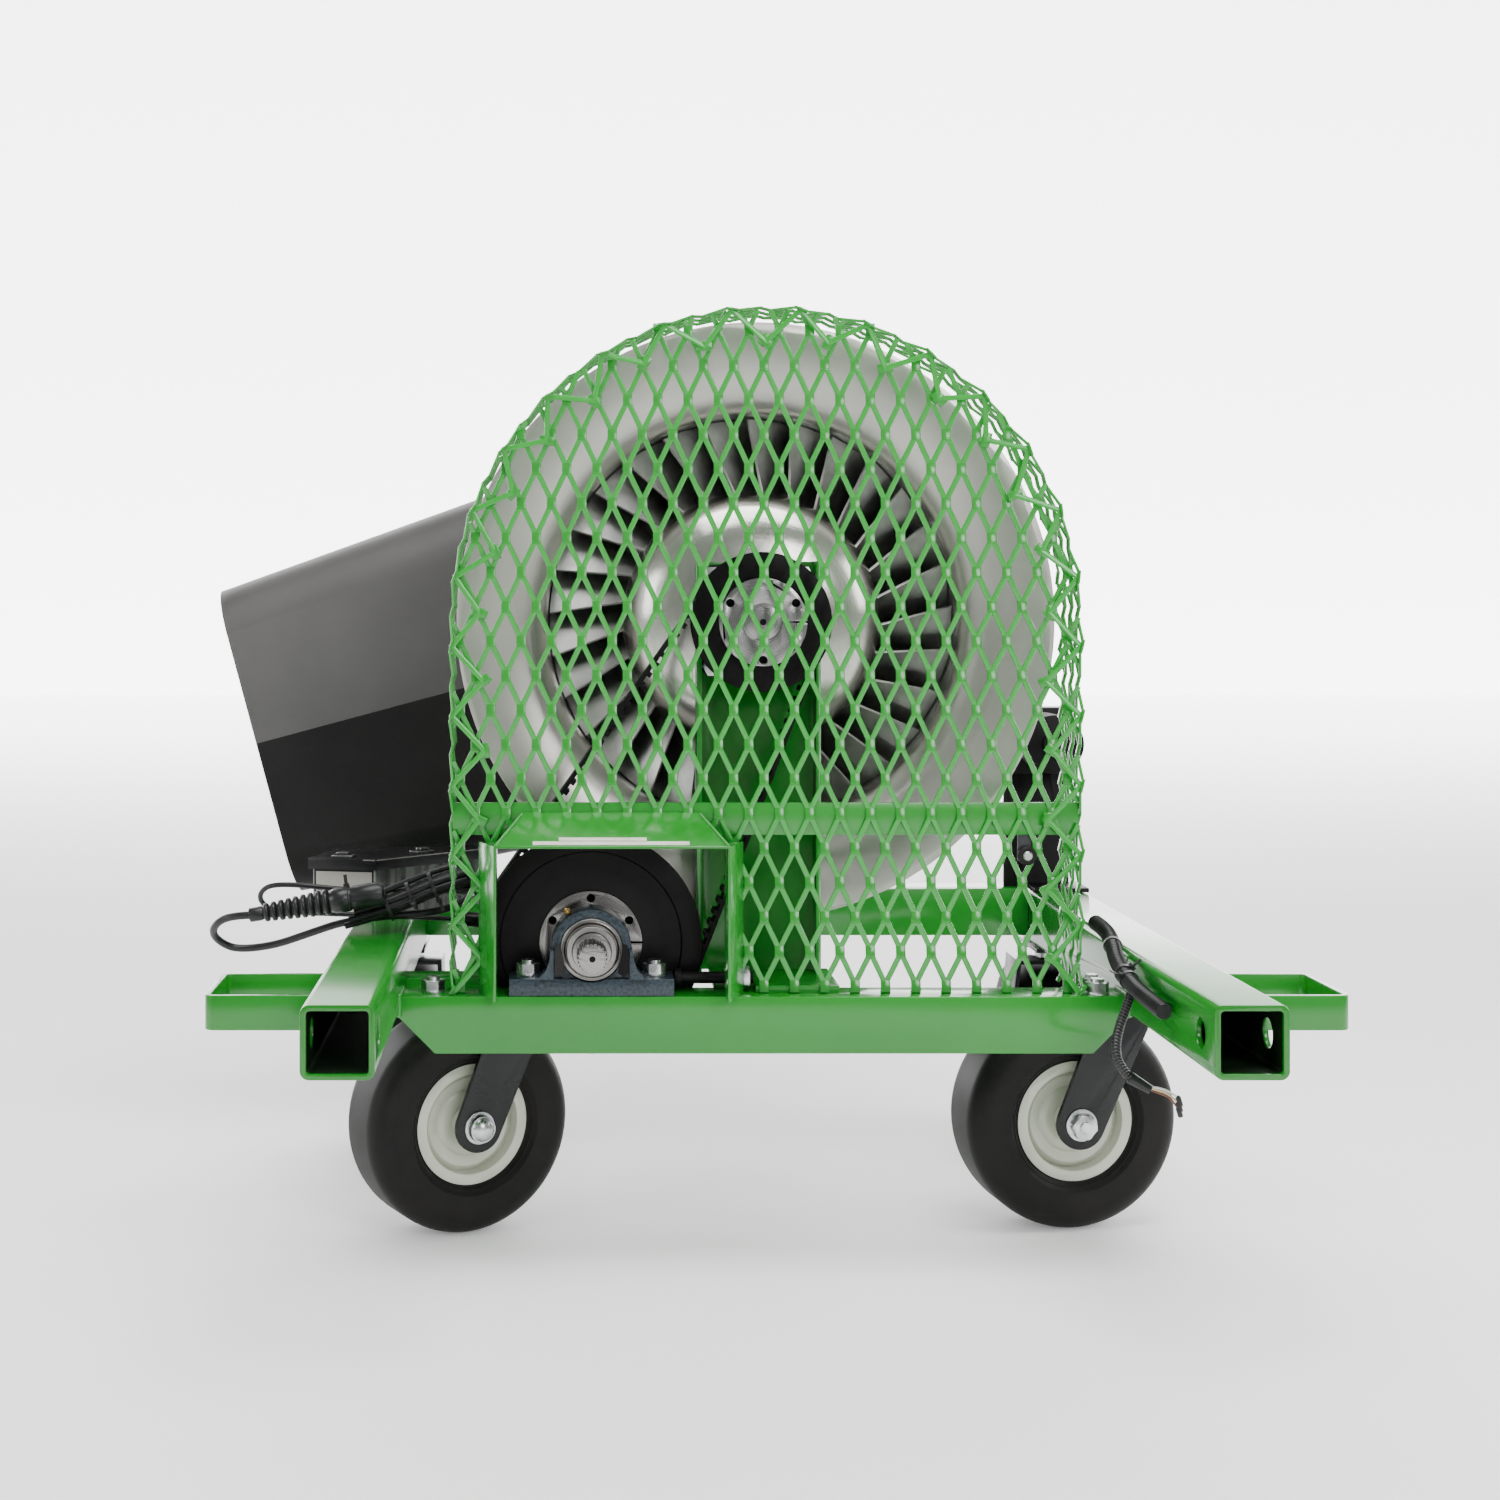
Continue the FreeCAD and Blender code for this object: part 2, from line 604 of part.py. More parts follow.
def front_panel():
    wires = [cage_outline(cage_inner_r, panel_front).OuterWire]
    for hole in mesh_holes(cage_inner_r - MESH_BORDER):
        loop = [V(x, panel_front, z) for x, z in hole]
        wires.append(Part.makePolygon(loop + loop[:1]))
    sheet = Part.makeFace(wires, "Part::FaceMakerBullseye")
    panel = sheet.extrude(V(0, CAGE_SHEET, 0))
    window = block(HOOD_LEFT, HOOD_RIGHT, panel_front - 1, panel_front + CAGE_SHEET + 1,
                   rail_top - 1, rail_top + HOOD_HEIGHT + HOOD_SHEET)
    return panel.cut(window)


def cage_band():
    """Strip of the same mesh bent round the panel, long way along its length."""
    back = CAGE_FRONT + CAGE_DEPTH
    outer = cage_outline(CAGE_R, CAGE_FRONT).extrude(V(0, CAGE_DEPTH, 0))
    inner_face = cage_outline(cage_inner_r, CAGE_FRONT - 1)
    inner = inner_face.extrude(V(0, CAGE_DEPTH + 2, 0))
    floor_cut = block(CAGE_X - cage_inner_r, CAGE_X + cage_inner_r, CAGE_FRONT - 1, back + 1,
                      rail_top - 1, rail_top + 10)
    band = outer.cut(inner).cut(floor_cut)
    half_y = (MESH_SHORT - MESH_STRAND * 1.08) / 2
    half_s = half_y * MESH_LONG / MESH_SHORT
    straight = axis_z - rail_top
    arc = math.pi * CAGE_R
    count = round((2 * straight + arc) / (MESH_LONG / 2))
    step = (2 * straight + arc) / count
    rows = int(CAGE_DEPTH / MESH_SHORT)
    cutters = []
    for k in range(1, count):
        s = k * step
        offsets = [(r + 0.5) * CAGE_DEPTH / rows for r in range(rows)]
        if k % 2:
            offsets = [(r + 1) * CAGE_DEPTH / rows for r in range(rows - 1)]
        for offset in offsets:
            y = CAGE_FRONT + offset
            top = y + half_y
            low = y - half_y
            diamond = Part.makePolygon([V(-12, low, 0), V(-12, y, half_s), V(-12, top, 0), V(-12, y, -half_s),
                                        V(-12, low, 0)])
            cutter = Part.Face(diamond).extrude(V(24, 0, 0))
            if s < straight:
                cutter.translate(V(CAGE_X - CAGE_R, 0, rail_top + s))
            elif s < straight + arc:
                angle = math.pi - (s - straight) / CAGE_R
                cutter.rotate(V(0, 0, 0), Y_AXIS, -math.degrees(angle))
                cutter.translate(V(CAGE_X + CAGE_R * math.cos(angle), 0, axis_z + CAGE_R * math.sin(angle)))
            else:
                cutter.translate(V(CAGE_X + CAGE_R, 0, axis_z - (s - straight - arc)))
            cutters.append(cutter)
    return band.cut(cutters)


def crossbar():
    z0 = rail_top + CROSSBAR_LIFT
    y0 = panel_front + CAGE_SHEET
    return block(CAGE_X - cage_inner_r, CAGE_X + cage_inner_r, y0, y0 + CROSSBAR_THICK, z0, z0 + CROSSBAR_HEIGHT)


def pto_hood():
    """Sheet hood round the power shaft: top and two sides, with flanges that spread to the mesh."""
    x0, x1 = HOOD_LEFT, HOOD_RIGHT
    z0, z1 = rail_top, rail_top + HOOD_HEIGHT
    back = panel_front
    shell = block(x0, x1, HOOD_FRONT, back, z0, z1)
    shell = shell.cut(block(x0 + HOOD_SHEET, x1 - HOOD_SHEET, HOOD_FRONT - 1, back + 1, z0 - 1, z1 - HOOD_SHEET))
    flare = HOOD_FLARE_TOP
    top = [V(x0, HOOD_FRONT, z1), V(x1, HOOD_FRONT, z1), V(x1 - flare, back, z1 + flare), V(x0 + flare, back, z1 + flare)]
    sheet = Part.Face(Part.makePolygon(top + top[:1])).extrude(V(0, 0, -HOOD_SHEET))
    sides = []
    for x, out in ((x0, -1), (x1, 1)):
        edge = [(x, HOOD_FRONT), (x + out * HOOD_FLARE_SIDE, back), (x + out * HOOD_FLARE_SIDE - out * HOOD_SHEET, back),
                (x - out * HOOD_SHEET, HOOD_FRONT)]
        sides.append(prism_z(edge, z0, z1))
    return shell.fuse([sheet] + sides).removeSplitter()


pieces["cage_front_panel"] = front_panel()
pieces["cage_band"] = cage_band()
pieces["cage_crossbar"] = crossbar()
pieces["pto_hood"] = pto_hood()


# ------------------------------------------------------------------ power shaft in its pillow block
def pillow_block():
    y0 = rail_front + BLOCK_SETBACK
    y1 = y0 + BLOCK_DEPTH
    half = BLOCK_LENGTH / 2
    foot = block(PTO_X - half, PTO_X + half, y0, y1, rail_top, rail_top + BLOCK_FOOT)
    web = prism_y([(PTO_X - half * 0.58, rail_top), (PTO_X + half * 0.58, rail_top),
                   (PTO_X + BLOCK_HOUSING_R * 0.93, pto_z + BLOCK_HOUSING_R * 0.2),
                   (PTO_X - BLOCK_HOUSING_R * 0.93, pto_z + BLOCK_HOUSING_R * 0.2)], y0 + 8, y1 - 8)
    housing = rod_y(BLOCK_HOUSING_R, y0 + 5, y1 - 5, PTO_X, pto_z)
    bore = rod_y(BEARING_R, y0 - 1, y1 + 1, PTO_X, pto_z)
    return foot.fuse([web, housing]).cut(bore).removeSplitter()


def toothed_disc(teeth, tip_r, depth, y0, y1, x, z):
    """Disc with square-cut teeth, each tooth a little narrower than its gap."""
    outline = []
    for k in range(teeth):
        for share, radius in ((0.0, tip_r - depth), (0.2, tip_r - depth), (0.3, tip_r), (0.9, tip_r)):
            angle = 2 * math.pi * (k + share) / teeth
            outline.append((x + radius * math.cos(angle), z + radius * math.sin(angle)))
    return prism_y(outline, y0, y1)


def split_bushing(flange_r, bore_r, y0, y1, x, z, with_heads):
    """Tapered split bushing: flange in front, three bolts, three jacking holes and a slit."""
    flange = ring_y(flange_r, bore_r, y0, y0 + BUSHING_FLANGE, x, z)
    sleeve = ring_y(flange_r * BUSHING_SLEEVE_SHARE, bore_r, y0 + BUSHING_FLANGE, y1, x, z)
    solid = flange.fuse(sleeve)
    cuts = [block(x + bore_r - 1, x + flange_r + 1, y0 - 1, y0 + BUSHING_FLANGE + 1, z - 1.2, z + 1.2)]
    heads = []
    for k in range(3):
        for shift in (30, 90):
            angle = math.radians(120 * k + shift)
            cx = x + flange_r * BUSHING_BOLT_SHARE * math.cos(angle)
            cz = z + flange_r * BUSHING_BOLT_SHARE * math.sin(angle)
            if with_heads and shift == 90:
                heads.append(hex_y(BUSHING_BOLT_R * 2.6, y0 - 6, y0, cx, cz))
            else:
                cuts.append(rod_y(BUSHING_BOLT_R, y0 - 1, y0 + BUSHING_FLANGE + 1, cx, cz))
    solid = solid.cut(cuts)
    return solid.fuse(heads) if heads else solid


drive_tip_r = drive_pitch_r - PITCH_TO_TIP
driven_tip_r = driven_pitch_r - PITCH_TO_TIP
bushing_front = PULLEY_FRONT - BUSHING_FLANGE
drive_bushing_front = PULLEY_FRONT - BUSHING_PROUD
block_front = rail_front + BLOCK_SETBACK
block_back = block_front + BLOCK_DEPTH
pto_inner_r = PTO_R + PTO_TOOTH + 2.6


def pto_shaft():
    spline_end = PTO_FRONT + PTO_SPLINE_LENGTH
    spline = toothed_disc(PTO_TEETH, PTO_R, PTO_TOOTH, PTO_FRONT, spline_end, PTO_X, pto_z)
    journal = rod_y(pto_inner_r, spline_end, pulley_back + 4, PTO_X, pto_z)
    return spline.fuse(journal)


def pulley(teeth, tip_r, flange_r, flange_back, x, z, flanged):
    """Toothed wheel with a seat for its bushing's flange and sleeve."""
    body = toothed_disc(teeth, tip_r, GROOVE_DEPTH, PULLEY_FRONT, pulley_back, x, z)
    if flanged:
        rims = [ring_y(tip_r + FLANGE_RISE, tip_r - GROOVE_DEPTH - 2, y0, y0 + FLANGE_THICK, x, z)
                for y0 in (PULLEY_FRONT, pulley_back - FLANGE_THICK)]
        body = body.fuse(rims)
    sleeve_r = flange_r * BUSHING_SLEEVE_SHARE
    seats = [rod_y(sleeve_r, PULLEY_FRONT - 1, pulley_back + 1, x, z)]
    if flange_back > PULLEY_FRONT:
        seats.append(rod_y(flange_r, PULLEY_FRONT - 1, flange_back, x, z))
    return body.cut(seats)


pieces["pillow_block"] = pillow_block()
pieces["pillow_outer_race"] = ring_y(BEARING_R, BEARING_R - BEARING_OUTER_WALL, block_front + 9, block_back - 9,
                                     PTO_X, pto_z)
pieces["pto_shaft"] = pto_shaft()
pieces["pto_inner_race"] = ring_y(BEARING_R - BEARING_OUTER_WALL - BEARING_GAP, pto_inner_r, block_front - 8,
                                  block_back - 1, PTO_X, pto_z)
pieces["drive_pulley"] = pulley(DRIVE_TEETH, drive_tip_r, DRIVE_BUSHING_R, drive_bushing_front + BUSHING_FLANGE,
                                PTO_X, pto_z, False)
pieces["drive_bushing"] = split_bushing(DRIVE_BUSHING_R, pto_inner_r, drive_bushing_front, pulley_back,
                                        PTO_X, pto_z, False)


# ------------------------------------------------------------------ turbine
def impeller():
    """Hub ring with curved blades that lean over towards their tips."""
    ring = ring_y(HUB_OUTER_R, HUB_OUTER_R - HUB_RING_WALL, BLADE_FRONT - 4, BLADE_FRONT + BLADE_CHORD + 4,
                  CAGE_X, axis_z)
    sections = []
    for radius, entry, leave in ((HUB_OUTER_R - 3, 40.0, 5.0), (blade_tip_r, 66.0, 38.0)):
        camber = []
        x = 0.0
        y = BLADE_FRONT
        steps = 5
        for k in range(steps + 1):
            camber.append((x, y, math.radians(entry + (leave - entry) * k / steps)))
            if k < steps:
                angle = math.radians(entry + (leave - entry) * (k + 0.5) / steps)
                x += math.tan(angle) * BLADE_CHORD / steps
                y += BLADE_CHORD / steps
        mid = x / 2
        left = [(px - mid - BLADE_THICK / 2 * math.cos(a), py + BLADE_THICK / 2 * math.sin(a)) for px, py, a in camber]
        right = [(px - mid + BLADE_THICK / 2 * math.cos(a), py - BLADE_THICK / 2 * math.sin(a)) for px, py, a in camber]
        loop = [V(CAGE_X + px, py, axis_z + radius) for px, py in left + right[::-1]]
        sections.append(Part.makePolygon(loop + loop[:1]))
    blade = Part.makeLoft(sections, True, True)
    trim = ring_y(blade_tip_r, HUB_OUTER_R - 3, BLADE_FRONT - 20, BLADE_FRONT + BLADE_CHORD + 20, CAGE_X, axis_z)
    blade = blade.common(trim)
    blades = []
    for k in range(BLADE_COUNT):
        copy = blade.copy()
        copy.rotate(V(CAGE_X, 0, axis_z), Y_AXIS, 360.0 * k / BLADE_COUNT)
        blades.append(copy)
    return ring.fuse(blades)


def hub_nose():
    """Spun aluminium dome in front of the blades."""
    inner = HUB_OUTER_R - HUB_RING_WALL
    front = POST_WEB_FRONT + POST_WEB + 4
    back = BLADE_FRONT - 4
    profile = []
    steps = 10
    for k in range(steps + 1):
        angle = math.pi / 2 * k / steps
        profile.append((60 + (HUB_OUTER_R - 60) * math.sin(angle), back - (back - front) * math.cos(angle)))
    profile += [(inner - 2, back), (inner - 10, back - 12), (70, front + 6), (ROTOR_SHAFT_R, front + 6),
                (ROTOR_SHAFT_R, front)]
    return lathe_y(profile, CAGE_X, axis_z)


def bell_mouth():
    """Spun sheet inlet: quarter ellipse from the rim to the throat, with a return lip."""
    outer = []
    inner = []
    steps = 14
    for k in range(steps + 1):
        angle = math.pi / 2 * k / steps
        outer.append((BELL_R - (BELL_R - THROAT_R) * math.sin(angle), housing_front - BELL_DEPTH * math.cos(angle)))
        inner.append((BELL_R - (BELL_R - THROAT_R - BELL_SHEET) * math.sin(angle),
                      housing_front - (BELL_DEPTH - BELL_SHEET) * math.cos(angle)))
    lip = [(BELL_R, BELL_FRONT + 14), (BELL_R + BELL_SHEET / 2, BELL_FRONT + 14), (BELL_R + BELL_SHEET / 2, BELL_FRONT)]
    return lathe_y(outer + inner[::-1] + lip, CAGE_X, axis_z)


def turbine_housing():
    wall = ring_y(THROAT_R + HOUSING_WALL, THROAT_R, housing_front, HOUSING_END, CAGE_X, axis_z)
    return wall


def housing_saddle():
    """Green plate that stands on the rear rail and cradles the housing."""
    y0 = rear_rail_front + SADDLE_SETBACK
    half = SADDLE_WIDTH / 2
    plate = block(CAGE_X - half, CAGE_X + half, y0, y0 + SADDLE_THICK, tube_top, axis_z - 120)
    return plate.cut(rod_y(THROAT_R + HOUSING_WALL, y0 - 1, y0 + SADDLE_THICK + 1, CAGE_X, axis_z))


def stator():
    """Six straight vanes that hold the rear bearing inside the housing."""
    y0 = BLADE_FRONT + BLADE_CHORD + 30
    y1 = y0 + 90
    cup = ring_y(70, ROTOR_SHAFT_R + ROTOR_FIT, y0, y1, CAGE_X, axis_z)
    vanes = []
    for k in range(6):
        vane = block(CAGE_X - 3, CAGE_X + 3, y0 + 10, y1 - 10, axis_z + 68, axis_z + THROAT_R + 1)
        vane.rotate(V(CAGE_X, 0, axis_z), Y_AXIS, 60.0 * k)
        vanes.append(vane)
    solid = cup.fuse(vanes)
    return solid.common(rod_y(THROAT_R, y0, y1, CAGE_X, axis_z))


def center_post():
    x0 = CAGE_X - POST_WIDTH / 2
    x1 = CAGE_X + POST_WIDTH / 2
    base_top = rail_top + POST_BASE_THICK
    top = axis_z + POST_TOP_RISE
    web_back = POST_WEB_FRONT + POST_WEB
    base = block(x0 + POST_BASE_INSET, x1 + 12, panel_back + 1, web_back, rail_top, base_top)
    base = base.cut(block(x0 - 1, screw_x1 + 2, panel_front, screw_back + 1, rail_top - 1, base_top + 1))
    outer = block(x0, x1, post_front, web_back, base_top, top)
    hollow = block(x0 + POST_WEB, x1 - POST_WEB, post_front - 1, POST_WEB_FRONT, base_top - 1, top + 1)
    shaft_hole = rod_y(ROTOR_SHAFT_R + 6, POST_WEB_FRONT - 1, web_back + 1, CAGE_X, axis_z)
    holes = [rod_y(BOLT_R, POST_WEB_FRONT - 1, web_back + 1, CAGE_X + dx * FLANGE_BEARING_BOLT,
                   axis_z + dz * FLANGE_BEARING_BOLT) for dx in (-1, 1) for dz in (-1, 1)]
    return base.fuse(outer.cut(hollow)).cut([shaft_hole] + holes).removeSplitter()


def flange_bearing():
    half = min(FLANGE_BEARING_SIZE, POST_WIDTH - 2 * POST_WEB - 1) / 2
    foot_front = POST_WEB_FRONT - FLANGE_BEARING_FOOT
    foot = rounded_bar(CAGE_X - half, CAGE_X + half, axis_z - half, axis_z + half, 16, foot_front, POST_WEB_FRONT)
    boss = rod_y(FLANGE_BEARING_BOSS_R, POST_WEB_FRONT - FLANGE_BEARING_DEPTH, POST_WEB_FRONT, CAGE_X, axis_z)
    bore = rod_y(ROTOR_SHAFT_R + ROTOR_FIT, PULLEY_FRONT, POST_WEB_FRONT + 1, CAGE_X, axis_z)
    holes = [rod_y(BOLT_R, foot_front - 1, POST_WEB_FRONT + 1, CAGE_X + dx * FLANGE_BEARING_BOLT,
                   axis_z + dz * FLANGE_BEARING_BOLT) for dx in (-1, 1) for dz in (-1, 1)]
    return foot.fuse(boss).cut([bore] + holes)


def bearing_bolts():
    """Four bolts through the flange bearing and two through the pillow block's feet."""
    bolts = []
    front = POST_WEB_FRONT - FLANGE_BEARING_FOOT
    for dx in (-1, 1):
        for dz in (-1, 1):
            x = CAGE_X + dx * FLANGE_BEARING_BOLT
            z = axis_z + dz * FLANGE_BEARING_BOLT
            shank = rod_y(BOLT_R, front, POST_WEB_FRONT + POST_WEB, x, z)
            bolts.append(shank.fuse(hex_y(3 * BOLT_R, front - 9, front, x, z)))
    for side in (-1, 1):
        x = PTO_X + side * BLOCK_BOLT_SPAN / 2
        bolts.append(rail_bolt(x, block_front + BLOCK_DEPTH / 2, rail_top + BLOCK_FOOT))
    return bolts


def rail_bolt(x, y, z):
    washer = rod_z(WASHER_R, z, z + WASHER_THICK, x, y)
    head = hex_z(3 * BOLT_R, z + WASHER_THICK, z + WASHER_THICK + 11, x, y)
    stud = rod_z(BOLT_R, z, z + WASHER_THICK + 15, x, y)
    return washer.fuse([head, stud]).removeSplitter()


def rail_bolts():
    """Mounting bolts of the cage feet at the rail's two ends."""
    spots = [(-inner_x + 38, rail_front + 29), (inner_x - 33, rail_front + 17), (inner_x - 33, rail_front + 45)]
    return [rail_bolt(x, y, rail_top) for x, y in spots]


rotor_front = PULLEY_FRONT - BUSHING_FLANGE + 2
rotor_back = BLADE_FRONT + BLADE_CHORD + 130
pieces["rotor_shaft"] = rod_y(ROTOR_SHAFT_R, rotor_front, rotor_back, CAGE_X, axis_z)
pieces["driven_pulley"] = pulley(DRIVEN_TEETH, driven_tip_r, DRIVEN_BUSHING_R, bushing_front + BUSHING_FLANGE,
                                 CAGE_X, axis_z, True)
pieces["driven_bushing"] = split_bushing(DRIVEN_BUSHING_R, ROTOR_SHAFT_R, bushing_front, pulley_back,
                                         CAGE_X, axis_z, True)
pieces["turbine_impeller"] = impeller()
pieces["turbine_hub_nose"] = hub_nose()
pieces["bell_mouth"] = bell_mouth()
pieces["turbine_housing"] = turbine_housing()
pieces["housing_saddle"] = housing_saddle()
pieces["stator"] = stator()
pieces["center_post"] = center_post()
pieces["flange_bearing"] = flange_bearing()
pieces["frame_bolts"] = group(plate_bolts + bearing_bolts() + rail_bolts())


# ------------------------------------------------------------------ belts
def belt_hull(x1, z1, r1, x2, z2, r2, y):
    """Face bounded by two circles and their outer tangents."""
    span = math.hypot(x2 - x1, z2 - z1)
    heading = math.atan2(z2 - z1, x2 - x1)
    lean = math.acos((r1 - r2) / span)

    def rim_point(x, z, r, angle):
        return V(x + r * math.cos(angle), y, z + r * math.sin(angle))

    a1 = rim_point(x1, z1, r1, heading + lean)
    a2 = rim_point(x2, z2, r2, heading + lean)
    b1 = rim_point(x1, z1, r1, heading - lean)
    b2 = rim_point(x2, z2, r2, heading - lean)
    edges = [Part.makeLine(a1, a2), Part.Arc(a2, rim_point(x2, z2, r2, heading), b2).toShape(), Part.makeLine(b2, b1),
             Part.Arc(b1, rim_point(x1, z1, r1, heading + math.pi), a1).toShape()]
    return Part.Face(Part.Wire(edges))


def belt(x1, z1, r1, x2, z2, r2, thick, y0, y1):
    outer = belt_hull(x1, z1, r1 + thick, x2, z2, r2 + thick, y0).extrude(V(0, y1 - y0, 0))
    inner = belt_hull(x1, z1, r1, x2, z2, r2, y0 - 1).extrude(V(0, y1 - y0 + 2, 0))
    return outer.cut(inner)


belt_front = PULLEY_FRONT + (PULLEY_WIDTH - BELT_WIDTH) / 2
pieces["drive_belt"] = belt(PTO_X, pto_z, drive_tip_r + BELT_GAP, CAGE_X, axis_z, driven_tip_r + BELT_GAP,
                            BELT_THICK, belt_front, belt_front + BELT_WIDTH)


# ------------------------------------------------------------------ belt tension screw


def tension_screw():
    """Jack bolt that pushes the pillow block, with its lock nut against a welded lug."""
    rod = Part.makeCylinder(SCREW_R, screw_x1 - screw_x0, V(screw_x0, screw_y, screw_z), X_AXIS)
    nut = Part.makeCylinder(SCREW_NUT_R, SCREW_NUT, V(lug_x + LUG_THICK, screw_y, screw_z), X_AXIS)
    head = Part.makeCylinder(SCREW_HEAD_R, SCREW_HEAD, V(screw_x0, screw_y, screw_z), X_AXIS)
    return rod.fuse([nut, head]).removeSplitter()


def tension_lug():
    lug = block(lug_x, lug_x + LUG_THICK, panel_back + 0.5, screw_back, rail_top, screw_z + SCREW_NUT_R + 3)
    return lug.cut(Part.makeCylinder(SCREW_R, 2 * LUG_THICK, V(lug_x - LUG_THICK / 2, screw_y, screw_z), X_AXIS))


pieces["tension_screw"] = tension_screw()
pieces["front_rail"] = pieces["front_rail"].fuse(tension_lug()).removeSplitter()


# ------------------------------------------------------------------ nozzle
def oval(x, half_height, y0, y1):
    """Wire of the nozzle's section at a distance x from the turbine axis, in the untilted nozzle."""
    radius = min(half_height, (y1 - y0) / 2) * 0.8
    near = radius * (1 - math.sqrt(0.5))
    z0 = axis_z - half_height
    z1 = axis_z + half_height
    px = CAGE_X - x
    edges = [
        Part.makeLine(V(px, y0 + radius, z0), V(px, y1 - radius, z0)),
        Part.Arc(V(px, y1 - radius, z0), V(px, y1 - near, z0 + near), V(px, y1, z0 + radius)).toShape(),
        Part.makeLine(V(px, y1, z0 + radius), V(px, y1, z1 - radius)),
        Part.Arc(V(px, y1, z1 - radius), V(px, y1 - near, z1 - near), V(px, y1 - radius, z1)).toShape(),
        Part.makeLine(V(px, y1 - radius, z1), V(px, y0 + radius, z1)),
        Part.Arc(V(px, y0 + radius, z1), V(px, y0 + near, z1 - near), V(px, y0, z1 - radius)).toShape(),
        Part.makeLine(V(px, y0, z1 - radius), V(px, y0, z0 + radius)),
        Part.Arc(V(px, y0, z0 + radius), V(px, y0 + near, z0 + near), V(px, y0 + radius, z0)).toShape(),
    ]
    return Part.Wire(edges)


def nozzle_solid(inset, run_out):
    """Elbow body: a round end behind the turbine and a tapered spout, smaller all round by inset."""
    y0 = NOZZLE_FRONT + inset
    y1 = NOZZLE_FRONT + NOZZLE_DEPTH - inset
    end_trim = (NOZZLE_DEPTH - NOZZLE_END_DEPTH) / 2
    slope = (NOZZLE_ROOT_HALF - NOZZLE_END_HALF) / NOZZLE_LENGTH
    reach = NOZZLE_LENGTH + run_out
    end_half = NOZZLE_END_HALF - slope * run_out
    spout = Part.makeLoft([oval(0, NOZZLE_ROOT_HALF - inset, y0, y1),
                           oval(reach, end_half - inset, y0 + end_trim, y1 - end_trim)], True, True)
    radius = NOZZLE_ROOT_HALF - inset
    corner = min(NOZZLE_ROOT_HALF - inset, (y1 - y0) / 2) * 0.8
    steps = 6
    profile = [(0, y0), (radius - corner, y0)]
    for k in range(1, steps):
        angle = math.pi / 2 * k / steps
        profile.append((radius - corner + corner * math.sin(angle), y0 + corner - corner * math.cos(angle)))
    profile += [(radius, y0 + corner), (radius, y1 - corner)]
    for k in range(1, steps):
        angle = math.pi / 2 * k / steps
        profile.append((radius - corner + corner * math.cos(angle), y1 - corner + corner * math.sin(angle)))
    profile += [(radius - corner, y1), (0, y1)]
    drum = lathe_y(profile, CAGE_X, axis_z)
    return spout.fuse(drum)


def tilted(shape):
    copy = shape.copy()
    copy.rotate(V(CAGE_X, 0, axis_z), Y_AXIS, -NOZZLE_TILT_DEG)
    return copy


def nozzle_shells():
    """Moulded elbow in two shells that meet on a seam through the spout's centre line."""
    body = nozzle_solid(0, 0).cut(nozzle_solid(NOZZLE_WALL, 40))
    body = body.cut(rod_y(collar_bore_r, NOZZLE_FRONT - 5, NOZZLE_FRONT + NOZZLE_WALL + 5, CAGE_X, axis_z))
    big = 2000.0
    upper = body.common(block(-big, big, 0, big, axis_z, big))
    lower = body.common(block(-big, big, 0, big, -big, axis_z))
    return tilted(upper), tilted(lower)


upper_shell, lower_shell = nozzle_shells()
pieces["nozzle_upper_shell"] = upper_shell
pieces["nozzle_lower_shell"] = lower_shell
pieces["nozzle_collar"] = ring_y(COLLAR_R, collar_bore_r, collar_front, NOZZLE_FRONT, CAGE_X, axis_z)
nozzle_belt_front = collar_front + 8
pieces["nozzle_belt"] = belt(CAGE_X, axis_z, COLLAR_R + BELT_GAP, MOTOR_X, MOTOR_Z, MOTOR_PULLEY_R + BELT_GAP,
                             NOZZLE_BELT_THICK, nozzle_belt_front, nozzle_belt_front + NOZZLE_BELT_WIDTH)
motor_back = collar_front - 6
motor_front = motor_back - MOTOR_LENGTH


def nozzle_motor():
    """Gearmotor: can, square gearbox and end cap."""
    can = rod_y(MOTOR_R, motor_front, motor_back - 45, MOTOR_X, MOTOR_Z)
    gearbox = rounded_bar(MOTOR_X - MOTOR_HALF, MOTOR_X + MOTOR_HALF, MOTOR_Z - MOTOR_HALF, MOTOR_Z + MOTOR_HALF,
                          10, motor_back - 45, motor_back - 8)
    cap = rod_y(18, motor_front - 10, motor_front, MOTOR_X, MOTOR_Z)
    bore = rod_y(10.05, motor_back - 40, motor_back + 1, MOTOR_X, MOTOR_Z)
    return can.fuse([gearbox, cap]).cut(bore)


def motor_bracket():
    """Bent plate from the right side tube up to the gearmotor's rear face."""
    y0 = motor_back - 8
    plate = block(MOTOR_X - MOTOR_HALF, MOTOR_X + MOTOR_HALF, y0, y0 + 6, tube_top, MOTOR_Z + MOTOR_HALF)
    foot = block(MOTOR_X - 16, FRAME_WIDTH / 2, y0 - 60, y0 + 6, tube_top, tube_top + 6)
    return plate.fuse(foot).cut(rod_y(12, y0 - 1, y0 + 7, MOTOR_X, MOTOR_Z)).removeSplitter()


def motor_pulley():
    hub = rod_y(10, motor_back - 36, nozzle_belt_front - 2, MOTOR_X, MOTOR_Z)
    drum = rod_y(MOTOR_PULLEY_R, nozzle_belt_front - 2, nozzle_belt_front + NOZZLE_BELT_WIDTH + 2, MOTOR_X, MOTOR_Z)
    return hub.fuse(drum)


pieces["nozzle_motor"] = group([nozzle_motor(), motor_bracket()])
pieces["motor_pulley"] = motor_pulley()

# ------------------------------------------------------------------ control box on the left tube
BOX_PLAN = [(-474.0, 571.0), (-345.0, 690.0), (-358.0, 722.0), (-531.0, 676.0), (-555.0, 586.0)]


